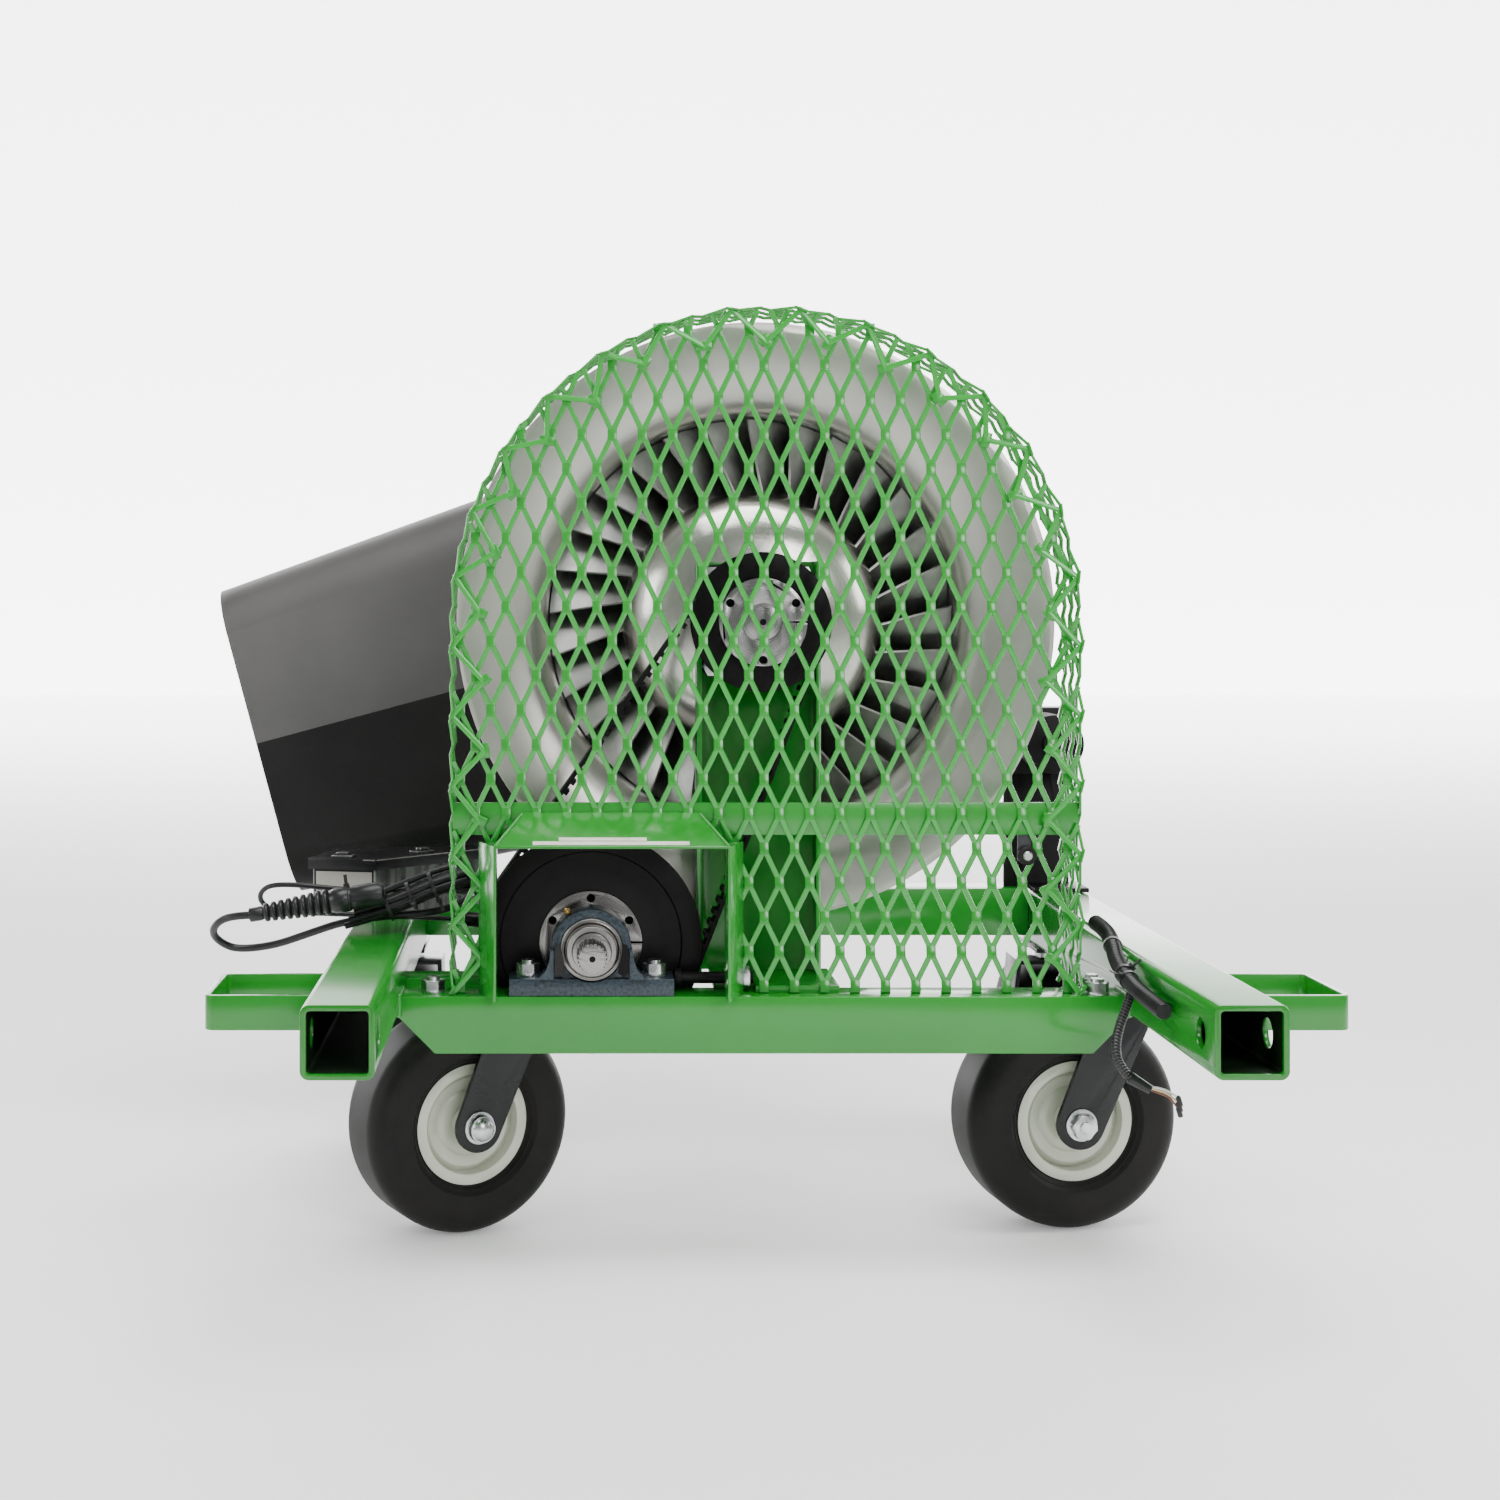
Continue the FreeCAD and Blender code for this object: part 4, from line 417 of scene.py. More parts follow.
def strip(name, x0, x1, y0, y1):
    """Strip on the hood's slope, which leaves its front edge (y, z) and rises by HOOD_SLOPE."""
    low, high = (at(x, y, HOOD_FRONT[1] + (y - HOOD_FRONT[0]) * HOOD_SLOPE) for x,
                 y in ((x0, y0), (x1, y1)))
    way = high - low
    lean = Matrix.Rotation(math.atan2(way.z, way.y), 4, "X")
    size = (way.x * 1000, math.hypot(way.y, way.z) * 1000, STRIP_THICK)
    piece = brick((low + high) / 2, size, strip_vinyl, lean)
    piece.name = name
    return belongs(piece, "frame", "frame_green")


HOOD_FRONT = (285, 506.4)
HOOD_SLOPE = 0.68
STRIP_THICK = 0.5


strip("hood_strip", -268, -88, 286.5, 291.5)
strip("hood_strip_upper", -238, -137, 292.5, 297)

# ---------------------------------------------------------------- expanded metal guard
# Slit and stretched sheet: flat strands that lean from one bond to the next, long way up on the front panel
# and along the bent band. Coated green with the frame.
GUARD_X = 4.0
GUARD_R = 370.0
GUARD_AXIS = 762.0
GUARD_FOOT = 328.0
PANEL_Y = 336.5
BAND_FRONT = 326.5
BAND_BACK = 429.0
SHORT_WAY = 35.55
LONG_WAY = 80.8
FIRST_BOND = (2.2, 821.5)
STRAND_WIDE = 6.3
STRAND_THICK = 2.8
LEAN = 1.7


def guard_room(x, z, radius):
    """How far a point of the front panel is inside the guard's outline."""
    if z > GUARD_AXIS:
        return radius - math.hypot(x - GUARD_X, z - GUARD_AXIS)
    return min(radius - abs(x - GUARD_X), z - GUARD_FOOT)


def in_window(x, z):
    return -313 < x < -41 and z < 509


def clipped(a, b, room):
    """The part of a straight strand from a to b that has room, or None."""
    ra, rb = room(*a), room(*b)
    if ra < 0 and rb < 0:
        return None
    low, high = a, b
    if ra < 0 or rb < 0:
        inside, outside = (a, b) if ra >= 0 else (b, a)
        share = 0.5
        step = 0.25
        for k in range(12):
            point = [inside[i] + (outside[i] - inside[i]) * share for i in (0, 1)]
            share += step if room(*point) > 0 else -step
            step /= 2
        cut = tuple(inside[i] + (outside[i] - inside[i]) * share for i in (0, 1))
        low, high = (a, cut) if ra >= 0 else (cut, b)
    return low, high


def strand_pattern():
    """One strand along Z, one unit long, its edges broken."""
    bpy.ops.object.select_all(action="DESELECT")
    bpy.ops.mesh.primitive_cube_add(size=1, location=(0, 0, 0))
    strand = bpy.context.object
    strand.scale = (STRAND_WIDE / 1000, STRAND_THICK / 1000, 1)
    bpy.ops.object.transform_apply(location=False, rotation=False, scale=True)
    bpy.ops.object.mode_set(mode="EDIT")
    bpy.ops.mesh.select_mode(type="EDGE")
    bpy.ops.mesh.select_all(action="DESELECT")
    edit = bmesh.from_edit_mesh(strand.data)
    for e in edit.edges:
        e.select = abs(e.verts[0].co.z - e.verts[1].co.z) > 0.5
    bmesh.update_edit_mesh(strand.data)
    bpy.ops.mesh.bevel(offset=0.0009, segments=2)
    bpy.ops.object.mode_set(mode="OBJECT")
    return strand


def bond_pattern():
    """The bond between two strands: a short wide leaning plate with a round-shouldered outline."""
    bpy.ops.object.select_all(action="DESELECT")
    bpy.ops.mesh.primitive_cube_add(size=1, location=(0, 0, 0))
    bond = bpy.context.object
    bond.scale = (0.0112, STRAND_THICK / 1000, 0.0165)
    bpy.ops.object.transform_apply(location=False, rotation=False, scale=True)
    bpy.ops.object.mode_set(mode="EDIT")
    bpy.ops.mesh.select_all(action="SELECT")
    bpy.ops.mesh.bevel(offset=0.0011, segments=2)
    bpy.ops.object.mode_set(mode="OBJECT")
    return bond


def placed(pattern, centre, along, facing, length):
    """Copy of a pattern with its own mesh: its Z along the strand and its Y along facing."""
    z_way = along.normalized()
    x_way = facing.cross(z_way).normalized()
    y_way = z_way.cross(x_way)
    turn = Matrix((x_way, y_way, z_way)).transposed().to_4x4()
    mesh = pattern.data.copy()
    mesh.transform(Matrix.Translation(centre) @ turn @ Matrix.Diagonal((1, 1, length, 1)))
    copy = bpy.data.objects.new("strand", mesh)
    bpy.context.collection.objects.link(copy)
    return copy


def joined(copies, name, finish):
    bpy.ops.object.select_all(action="DESELECT")
    for copy in copies:
        copy.select_set(True)
    bpy.context.view_layer.objects.active = copies[0]
    bpy.ops.object.join()
    piece = bpy.context.object
    piece.name = name
    piece.data.materials.clear()
    piece.data.materials.append(finish)
    bpy.ops.object.shade_smooth_by_angle(angle=math.radians(40))
    return piece


strand = strand_pattern()
bond = bond_pattern()


def stretched_sheet(name, spots, room, place, outward):
    """Lay a bond at each spot and a strand to each of its two upper neighbours."""
    copies = []
    for u, v in spots:
        if room(u, v) > 1:
            low = place(u, v - 7, LEAN)
            high = place(u, v + 7, -LEAN)
            copies.append(placed(bond, (low + high) / 2, high - low, outward(u, v), 1))
        for side in (-1, 1):
            cut = clipped((u + side * 1.6, v + 5), (u + side * (SHORT_WAY / 2 - 1.6), v + LONG_WAY / 2 - 5),
                          room)
            if cut:
                start, end = place(*cut[0], -LEAN * 0.9), place(*cut[1], LEAN * 0.9)
                if (end - start).length > 0.002:
                    copies.append(placed(strand, (start + end) / 2, end - start,
                                         outward((cut[0][0] + cut[1][0]) / 2, (cut[0][1] + cut[1][1]) / 2),
                                         (end - start).length))
    return joined(copies, name, green_coat)


def panel_spots():
    spots = []
    for i in range(-12, 13):
        for j in range(-7, 5):
            for half in (0, 1):
                spots.append((FIRST_BOND[0] + (i + half / 2) * SHORT_WAY,
                              FIRST_BOND[1] + (j + half / 2) * LONG_WAY))
    return spots


def panel_room(x, z):
    if in_window(x, z):
        return -1.0
    return guard_room(x, z, GUARD_R - 4)


front_mesh = stretched_sheet("guard_front_mesh", panel_spots(), panel_room,
                             lambda x, z, lean: at(x, PANEL_Y + lean * -1, z), lambda x,
                             z: Vector((0, -1, 0)))
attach(front_mesh, "frame")
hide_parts("cage_front_panel")

UPRIGHT = GUARD_AXIS - GUARD_FOOT
BAND_LENGTH = 2 * UPRIGHT + math.pi * GUARD_R
BAND_STEPS = 25
BAND_LONG = BAND_LENGTH / BAND_STEPS
BAND_SHORT = (BAND_BACK - BAND_FRONT) / 3


def band_place(across, along, lift):
    """Place on the bent band: across is the depth from its front edge, along the way from the left foot."""
    y = BAND_FRONT + across
    radius = GUARD_R - 2.2 - lift
    if along < UPRIGHT:
        return at(GUARD_X - radius, y, GUARD_FOOT + along)
    if along > BAND_LENGTH - UPRIGHT:
        return at(GUARD_X + radius, y, GUARD_FOOT + BAND_LENGTH - along)
    angle = math.pi - (along - UPRIGHT) / GUARD_R
    return at(GUARD_X + radius * math.cos(angle), y, GUARD_AXIS + radius * math.sin(angle))


def band_outward(across, along):
    if along < UPRIGHT:
        return Vector((-1, 0, 0))
    if along > BAND_LENGTH - UPRIGHT:
        return Vector((1, 0, 0))
    angle = math.pi - (along - UPRIGHT) / GUARD_R
    return Vector((math.cos(angle), 0, math.sin(angle)))


def band_mesh():
    copies = []
    for j in range(0, BAND_STEPS * 2 + 1):
        for i in range(0, 4):
            across = (i + (j % 2) / 2) * BAND_SHORT
            along = j * BAND_LONG / 2
            if across > BAND_BACK - BAND_FRONT + 1:
                continue
            low, high = max(along - 7, 1), min(along + 7, BAND_LENGTH - 1)
            start, end = band_place(across, low, -LEAN), band_place(across, high, LEAN)
            copies.append(placed(bond, (start + end) / 2, end - start, band_outward(across, along), 1))
            for side in (-1, 1):
                far = across + side * BAND_SHORT / 2
                if far < -1 or far > BAND_BACK - BAND_FRONT + 1 or j == BAND_STEPS * 2:
                    continue
                start = band_place(across + side * 1.6, along + 5, LEAN)
                end = band_place(far - side * 1.6, along + BAND_LONG / 2 - 5, -LEAN)
                copies.append(placed(strand, (start + end) / 2, end - start,
                                     band_outward(across, along + BAND_LONG / 4), (end - start).length))
    return joined(copies, "guard_band_mesh", green_coat)


band = band_mesh()
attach(band, "frame")
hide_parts("cage_band")


def guard_point(along, inset, y):
    """Place on the guard's outline, inset towards its middle."""
    radius = GUARD_R - inset
    if along < UPRIGHT:
        return at(GUARD_X - radius, y, GUARD_FOOT + along)
    if along > BAND_LENGTH - UPRIGHT:
        return at(GUARD_X + radius, y, GUARD_FOOT + BAND_LENGTH - along)
    angle = math.pi - (along - UPRIGHT) / GUARD_R
    return at(GUARD_X + radius * math.cos(angle), y, GUARD_AXIS + radius * math.sin(angle))


def lacing():
    """The band's first row of half diamonds, pressed in over the panel and tacked to it at each inner end."""
    copies = []
    for j in range(BAND_STEPS):
        outer = guard_point(j * BAND_LONG, 3, BAND_FRONT + 0.5)
        inner = guard_point((j + 0.5) * BAND_LONG, 39 + 4 * math.sin(2.3 * j), 331)
        after = guard_point((j + 1) * BAND_LONG, 3, BAND_FRONT + 0.5)
        for start, end in ((outer, inner), (inner, after)):
            copies.append(placed(strand, (start + end) / 2, end - start, Vector((0.15, -1, 0.1)),
                                 (end - start).length + 0.004))
        copies.append(placed(bond, inner, Vector((math.sin(j), 0, math.cos(j))), Vector((0, -1, 0)), 1.1))
        bpy.ops.object.select_all(action="DESELECT")
        bpy.ops.mesh.primitive_ico_sphere_add(subdivisions=2, radius=0.0062,
                                              location=inner + Vector((0, 0.0022, 0)))
        blob = bpy.context.object
        blob.scale = (1.25 + 0.3 * math.sin(1.7 * j), 0.6, 0.85 + 0.2 * math.cos(2.1 * j))
        bpy.ops.object.transform_apply(location=True, rotation=True, scale=True)
        copies.append(blob)
    return joined(copies, "guard_lacing", green_coat)


laced = lacing()
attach(laced, "frame")
for pattern in (strand, bond):
    bpy.data.objects.remove(pattern)

# ---------------------------------------------------------------- turbine
# Spun aluminium bell and hub nose with fine lathe rings, a cast impeller whose blades are fettled bright, and
# a plain duct behind them.
TURBINE = at(4, 0, 762)


def spun_metal(name, dark, light, centre, rough=(0.22, 0.42), rings=260.0, depth=0.25):
    """Bright metal with rings turned about a Y line through centre."""
    material = tinted(name, dark, light, 7, rough, metal=1.0, grain=120, depth=depth)
    tree = material.node_tree
    shader = tree.nodes["Principled BSDF"]
    shader.inputs["Anisotropic"].default_value = 0.4
    coordinates = tree.nodes.new("ShaderNodeTexCoord")
    mapping = tree.nodes.new("ShaderNodeMapping")
    mapping.inputs["Location"].default_value = (-centre.x, 0, -centre.z)
    tree.links.new(coordinates.outputs["Object"], mapping.inputs["Vector"])
    split = tree.nodes.new("ShaderNodeSeparateXYZ")
    tree.links.new(mapping.outputs["Vector"], split.inputs["Vector"])
    flat = tree.nodes.new("ShaderNodeCombineXYZ")
    tree.links.new(split.outputs["X"], flat.inputs["X"])
    tree.links.new(split.outputs["Z"], flat.inputs["Z"])
    reach = tree.nodes.new("ShaderNodeVectorMath")
    reach.operation = "LENGTH"
    tree.links.new(flat.outputs["Vector"], reach.inputs[0])
    grooves = tree.nodes.new("ShaderNodeTexNoise")
    grooves.noise_dimensions = "1D"
    grooves.inputs["Scale"].default_value = rings
    grooves.inputs["Detail"].default_value = 5.0
    tree.links.new(reach.outputs["Value"], grooves.inputs["W"])
    bump = next(n for n in tree.nodes if n.bl_idname == "ShaderNodeBump")
    tree.links.new(grooves.outputs["Fac"], bump.inputs["Height"])
    gloss = next(n for n in tree.nodes if n.bl_idname == "ShaderNodeMapRange")
    tree.links.new(grooves.outputs["Fac"], gloss.inputs["Value"])
    return material


bell_metal = spun_metal("spun_bell_aluminium", (0.50, 0.49, 0.46), (0.62, 0.60, 0.56), TURBINE,
                        (0.26, 0.42), depth=0.1)
nose_metal = spun_metal("spun_nose_aluminium", (0.55, 0.54, 0.50), (0.68, 0.66, 0.62), TURBINE, (0.16, 0.3),
                        420, 0.06)
cast_metal = tinted("cast_aluminium", (0.40, 0.40, 0.39), (0.58, 0.57, 0.55), 30, (0.28, 0.46), metal=1.0,
                    grain=500,
                    depth=0.35)
duct_metal = tinted("duct_aluminium", (0.30, 0.30, 0.29), (0.42, 0.41, 0.40), 6, (0.4, 0.6), metal=1.0,
                    grain=220)
take_over("bell_mouth", 0.5, bell_metal)
take_over("turbine_hub_nose", 0.5, nose_metal)
take_over("turbine_impeller", 0.4, cast_metal, soft=50)
take_over("turbine_housing", 0.5, duct_metal)
take_over("stator", 0.6, duct_metal)
take_over("nozzle_collar", 1.0, duct_metal)

# ---------------------------------------------------------------- shafts, pulleys, bushings and bearings
# Turned steel and black-oxide iron. The pulleys are cut with square teeth, and the bushings are bright split
# tapers.
PTO_X, PTO_Z = -200, 381
ROTOR_X, ROTOR_Z = 4, 762
machined = spun_metal("machined_steel", (0.17, 0.165, 0.16), (0.30, 0.29, 0.28), at(PTO_X, 0, PTO_Z),
                      (0.2, 0.38), 900,
                      0.15)
turned = spun_metal("turned_steel", (0.24, 0.24, 0.235), (0.38, 0.375, 0.37), TURBINE, (0.2, 0.38), 900,
                    0.15)
black_iron = tinted("black_iron", (0.003, 0.003, 0.003), (0.006, 0.006, 0.006), 24, (0.32, 0.5), grain=420,
                    depth=0.2,
                    edge_wear_and_highlight=(0.02, 0.02, 0.02), spec=0.12)
for node in ("pto_shaft", "drive_bushing"):
    take_over(node, 0.4, machined)
for node in ("rotor_shaft", "driven_bushing"):
    take_over(node, 0.4, turned)
for node, edge in (("drive_pulley", 0.5), ("driven_pulley", 0.4), ("flange_bearing", 1.5),
                   ("tension_screw", 0.6),
                   ("motor_pulley", 0.8), ("nozzle_motor", 1.2)):
    take_over(node, edge, black_iron)
PTO = at(PTO_X, 0, PTO_Z)
FORE = Vector((0, -1, 0))


def on_shaft(y, centre=PTO):
    return Vector((centre.x, at(0, y, 0).y, centre.z))


belongs(lathe("drive_pulley_face", [(62, 0), (62, 1.2), (107, 1.2), (109, 3.2), (130.5, 3.2), (132.3, 2.4),
                                    (132.3, 0),
                                    (62, 0)], on_shaft(376.4), FORE, black_iron, 96), "input_shaft",
        "black_steel")
dark_seal = tinted("bearing_seal", (0.03, 0.012, 0.006), (0.05, 0.022, 0.012), 50, (0.4, 0.6), grain=600)
belongs(lathe("bearing_seal_ring", [(26.5, 0), (26.5, 2), (31, 2.6), (31.6, 2), (31.6, 0)], on_shaft(323.5),
              FORE,
              dark_seal), "frame", "bearing_steel")
belongs(lathe("bearing_collar", [(22.3, -12), (22.3, 7.2), (23.2, 8.2), (28.4, 8.2), (29.4, 7.2), (29.4, 3),
                                 (27.6, 2.4),
                                 (27.6, 0), (30.4, -0.6), (30.4, -12), (22.3, -12)], on_shaft(316.5), FORE,
              machined),
        "input_shaft", "bearing_steel", "pto_inner_race")
belongs(lathe("bearing_outer_ring", [(31.2, 0), (31.2, 3.4), (32.6, 4.4), (34, 4.0), (34.6, 3.0),
                                     (35.6, 3.0), (36.8, 2),
                                     (36.8, -34), (31.2, -34), (31.2, 0)], on_shaft(324), FORE, machined),
        "frame", "bearing_steel", "pillow_outer_race")
belongs(lathe("shaft_centre_drill", [(0, 0.2), (3.2, 0.2), (3.6, 0)], on_shaft(258.9), FORE, black_iron,
              24),
        "input_shaft", "bearing_steel")
belongs(lathe("rotor_centre_drill", [(0, 0.2), (3.4, 0.2), (3.8, 0)], on_shaft(365.9, TURBINE), FORE,
              black_iron, 24),
        "rotor", "bearing_steel")
brass = tinted("brass", (0.42, 0.28, 0.10), (0.60, 0.42, 0.18), 60, (0.3, 0.45), metal=1.0, grain=500)
belongs(lathe("grease_fitting", [(0, 12), (1.6, 12), (2.6, 10.6), (2.2, 8.4), (2.8, 7.4), (4.2, 7.2),
                                 (4.2, 3), (3, 2.6),
                                 (3, -2)], at(-226, 330, 421), Vector((-0.42, -0.55, 0.72)).normalized(),
              brass, 24),
        "frame", "bearing_steel")
blue_iron = tinted("blue_hammer_enamel", (0.006, 0.014, 0.020), (0.030, 0.050, 0.064), 260, (0.22, 0.38),
                   grain=330,
                   depth=0.9, coat=0.15, spec=0.35)
take_over("pillow_block", 2.0, blue_iron, segments=3)


def slab(name, outline, y0, y1, finish):
    """Upright plate: the outline is a list of (x, z) corners, its faces at y0 and y1."""
    mesh = bpy.data.meshes.new(name)
    count = len(outline)
    mesh.from_pydata([at(x, y, z) for y in (y0, y1) for x, z in outline], [],
                     [list(range(count)), list(range(2 * count - 1, count - 1, -1))]
                     + [[k, k + count, (k + 1) % count + count, (k + 1) % count] for k in range(count)])
    mesh.materials.append(finish)
    piece = bpy.data.objects.new(name, mesh)
    bpy.context.collection.objects.link(piece)
    mesh.update()
    return piece


LEG_OUTLINE = ((44, 383), (47.5, 383), (49, 371), (53, 360), (60, 352), (68, 349.5), (44, 349.5))
# Pocket outlines: thin black plates on the pillow block's face beside its legs, painted shade for the
# shadowed recesses of the casting.
POCKET_SHADE_OUTLINE = ((36.5, 392), (40.5, 390), (42.5, 380), (43, 358), (36, 354), (30, 358))
for side, tag in ((-1, "left"), (1, "right")):
    leg = [(PTO_X + side * x, z) for x, z in LEG_OUTLINE]
    slot = [(PTO_X + side * x, z) for x, z in POCKET_SHADE_OUTLINE]
    belongs(slab("pillow_leg_" + tag, leg, 304, 330, blue_iron), "frame", "cast_blue")
    belongs(slab("pillow_pocket_shade_" + tag, slot, 299.3, 300.4, black_iron), "frame", "cast_blue")
belt_rubber = tinted("belt_rubber", (0.004, 0.004, 0.004), (0.008, 0.008, 0.008), 60, (0.55, 0.75),
                     grain=700, spec=0.15)
take_over("drive_belt", 0.4, belt_rubber)

# Belt: pitch of its teeth, the size of one tooth, the depth of its middle and the two pulleys' pitch radii.
BELT_PITCH = 14
BELT_TOOTH = (6.6, 33.8, 4.6)
BELT_Y = 395
BIG_PITCH_R = 127.8
SMALL_PITCH_R = 74.4


def belt_teeth():
    """Teeth on the inner side of both straight runs between the two pulleys."""
    big, small = Vector((PTO_X, 0, PTO_Z)), Vector((ROTOR_X, 0, ROTOR_Z))
    span = small - big
    heading = span.normalized()
    lean = math.acos((BIG_PITCH_R - SMALL_PITCH_R) / span.length)
    copies = []
    for side in (-1, 1):
        out = Matrix.Rotation(side * lean, 3, "Y") @ heading
        start, end = big + out * (BIG_PITCH_R + 0.5), small + out * (SMALL_PITCH_R + 0.5)
        count = int((end - start).length / BELT_PITCH)
        for k in range(2, count):
            spot = start.lerp(end, k / count) - out * 2.0
            way = (end - start).normalized()
            turn = frame_of(way, Vector((0, 1, 0)), way.cross(Vector((0, 1, 0))))
            copies.append(brick(at(spot.x, BELT_Y, spot.z), BELT_TOOTH, turn=turn))
    return joined(copies, "drive_belt_teeth", belt_rubber)


belongs(belt_teeth(), "frame", "belt_rubber")
take_over("nozzle_belt", 0.4, belt_rubber)


# Side tubes: half the inside width and its corner, the middle's place, and the pin hole with its setback.
LINER_HALF = 31.7
LINER_CORNER = 4.2
TUBE_X, TUBE_Z = 461.9, 342.1
PIN_HOLE_R = 16
PIN_SETBACK = 48


def receiver_shade_liner(name, x):
    """Dark sleeve inside one receiver tube, painted shade for the tube's deep unlit inside, with its pin hole
    left open.
    """
    half = LINER_HALF
    corner = LINER_CORNER
    ring = []
    for turn in range(4):
        cx, cz = ((1, 1), (-1, 1), (-1, -1), (1, -1))[turn]
        for k in range(5):
            angle = math.radians(90 * turn + 22.5 * k)
            ring.append((cx * (half - corner) + corner * math.cos(angle),
                         cz * (half - corner) + corner * math.sin(angle)))
    count = len(ring)
    corners = []
    for share, y in ((1, 4), (1, 780), (0.985, 780), (0.985, 4)):
        corners += [at(x + u * share, y, TUBE_Z + v * share) for u, v in ring]
    faces = []
    for lap in range(4):
        for k in range(count):
            a, b = lap * count, (lap + 1) % 4 * count
            faces.append([a + k, a + (k + 1) % count, b + (k + 1) % count, b + k])
    mesh = bpy.data.meshes.new(name)
    mesh.from_pydata(corners, [], faces)
    mesh.materials.append(tube_inside_painted_shade)
    mesh.update()
    sleeve = bpy.data.objects.new(name, mesh)
    bpy.context.collection.objects.link(sleeve)
    bpy.ops.object.select_all(action="DESELECT")
    bpy.ops.mesh.primitive_cylinder_add(radius=PIN_HOLE_R / 1000, depth=0.12, vertices=40)
    drill = bpy.context.object
    drill.data.transform(Matrix.Translation(at(x, PIN_SETBACK, TUBE_Z)) @ Matrix.Rotation(math.pi / 2, 4,
                                                                                          "Y"))
    cut = sleeve.modifiers.new("pin_hole", "BOOLEAN")
    cut.operation = "DIFFERENCE"
    cut.object = drill
    bpy.context.view_layer.objects.active = sleeve
    sleeve.select_set(True)
    bpy.ops.object.modifier_apply(modifier="pin_hole")
    bpy.data.objects.remove(drill)
    return sleeve


# Near-black green for the receivers' insides: painted shade standing for the dark, unlit depth of the tubes.
tube_inside_painted_shade = tinted("tube_inside_painted_shade", (0.001, 0.006, 0.001), (0.002, 0.016, 0.002), 8, (0.5, 0.7), grain=300,
                     spec=0.15)
for tag, x in (("left", -TUBE_X), ("right", TUBE_X)):
    belongs(receiver_shade_liner("receiver_shade_liner_" + tag, x), "frame", "frame_green")

# ---------------------------------------------------------------- nozzle
# Rotationally moulded black elbow in two shells with a fine stipple, joined on a seam along the spout. The
# upper shell is a lighter dark grey than the lower one.
upper_moulded = tinted("moulded_black_upper", (0.050, 0.049, 0.047), (0.075, 0.073, 0.070), 3.5,
                       (0.42, 0.55),
                       grain=520, depth=0.3)
lower_moulded = tinted("moulded_black_lower", (0.006, 0.006, 0.006), (0.011, 0.010, 0.010), 3.5,
                       (0.42, 0.55),
                       grain=520, depth=0.3, spec=0.15)
take_over("nozzle_upper_shell", 0.8, upper_moulded, soft=30)
take_over("nozzle_lower_shell", 0.8, lower_moulded, soft=30)

# ---------------------------------------------------------------- wheels and casters
# Solid foam tyres with plain ribs on cream enamelled pressed rims, held in black pressed forks by zinc
# bolts.
tyre_rubber = tinted("tyre_rubber", (0.004, 0.004, 0.004), (0.010, 0.009, 0.008), 14, (0.45, 0.62),
                     grain=420,
                     depth=0.25, spec=0.2)
cream_enamel = tinted("cream_enamel", (0.52, 0.54, 0.44), (0.62, 0.64, 0.54), 12, (0.18, 0.3), grain=260,
                      depth=0.06,
                      coat=0.3)
zinc_plate = tinted("zinc_plate", (0.48, 0.49, 0.50), (0.68, 0.69, 0.70), 60, (0.2, 0.36), metal=1.0,
                    grain=500)
black_paint = tinted("black_gloss_paint", (0.005, 0.005, 0.006), (0.009, 0.009, 0.010), 8, (0.2, 0.34),
                     grain=240,
                     depth=0.08, coat=0.2, edge_wear_and_highlight=(0.04, 0.04, 0.045), spec=0.2)
for wheel in ("front_left", "front_right", "rear_left", "rear_right"):
    take_over("rim_" + wheel, 0.8, cream_enamel)
    take_over("tyre_" + wheel, 0.0, tyre_rubber)
for node in ("caster_yoke_front_left", "caster_yoke_front_right", "rear_caster_yokes", "caster_plates"):
    take_over(node, 1.0, black_paint)
for node in ("axle_bolt_front_left", "axle_bolt_front_right", "rear_axle_bolts", "frame_bolts"):
    take_over(node, 0.9, zinc_plate)
latch_steel = tinted("latch_steel", (0.012, 0.012, 0.013), (0.05, 0.05, 0.052), 60, (0.2, 0.36), metal=0.7,
                     grain=500,
                     edge_wear_and_highlight=(0.3, 0.3, 0.3))
take_over("box_latches", 0.9, latch_steel)

joints = {j["name"]: j for j in frame["record"]["behaviour"]["joints"]}
for side in ("left", "right"):
    spin = joints["wheel_front_%s_spin" % side]
    way = -Vector(spin["axis"])
    way = way if way.y < 0 else -way
    middle = Vector(spin["pos_m"])
    end = middle + way * 0.0635
    if side == "left":
        belongs(lathe("axle_dome", [(0, 17), (5, 16.4), (10, 14.2), (14.5, 10), (16.6, 5), (17, 0)], end,
                      way, zinc_plate,
                      40, 60), "caster_" + side, "zinc")
    else:
        belongs(hexagon("axle_nut", 29, 11.5, end, way, zinc_plate, 0.3), "caster_" + side, "zinc")
        belongs(lathe("axle_thread", [(0, 15.4), (6.6, 15.4), (7.6, 14.2), (7.6, 0)], end, way, zinc_plate,
                      24),
                "caster_" + side, "zinc")
    belongs(lathe("hub_cap_" + side, [(22.2, -1), (22.2, 2.4), (25, 3.2), (33, 4.2), (40, 2.6), (44, -1)],
                  middle + way * 0.026, way, cream_enamel, 48), "wheel_front_" + side, "rim_white")
    belongs(lathe("tyre_bead_line_" + side, [(80, 0), (80.8, 1.3), (82.4, 1.3), (83.2, 0)],
                  middle + way * 0.0455, way,
                  tyre_rubber, 72), "wheel_front_" + side, "tyre_black")

# ---------------------------------------------------------------- control box
# Folded enclosure with a pale face plate, a brushed side plate, a dark cap lid with a thin light edge, and
# dark draw latches.
box_skin = tinted("box_grey_paint", (0.20, 0.20, 0.20), (0.33, 0.33, 0.33), 9, (0.2, 0.4), grain=200,
                  depth=0.1,
                  stretch=(1, 1, 0.15))
lid_skin = tinted("lid_dark_paint", (0.006, 0.006, 0.007), (0.013, 0.013, 0.014), 9, (0.25, 0.4), grain=300,
                  spec=0.25)
take_over("control_box", 0.8, box_skin)
take_over("control_box_lid", 1.0, lid_skin)


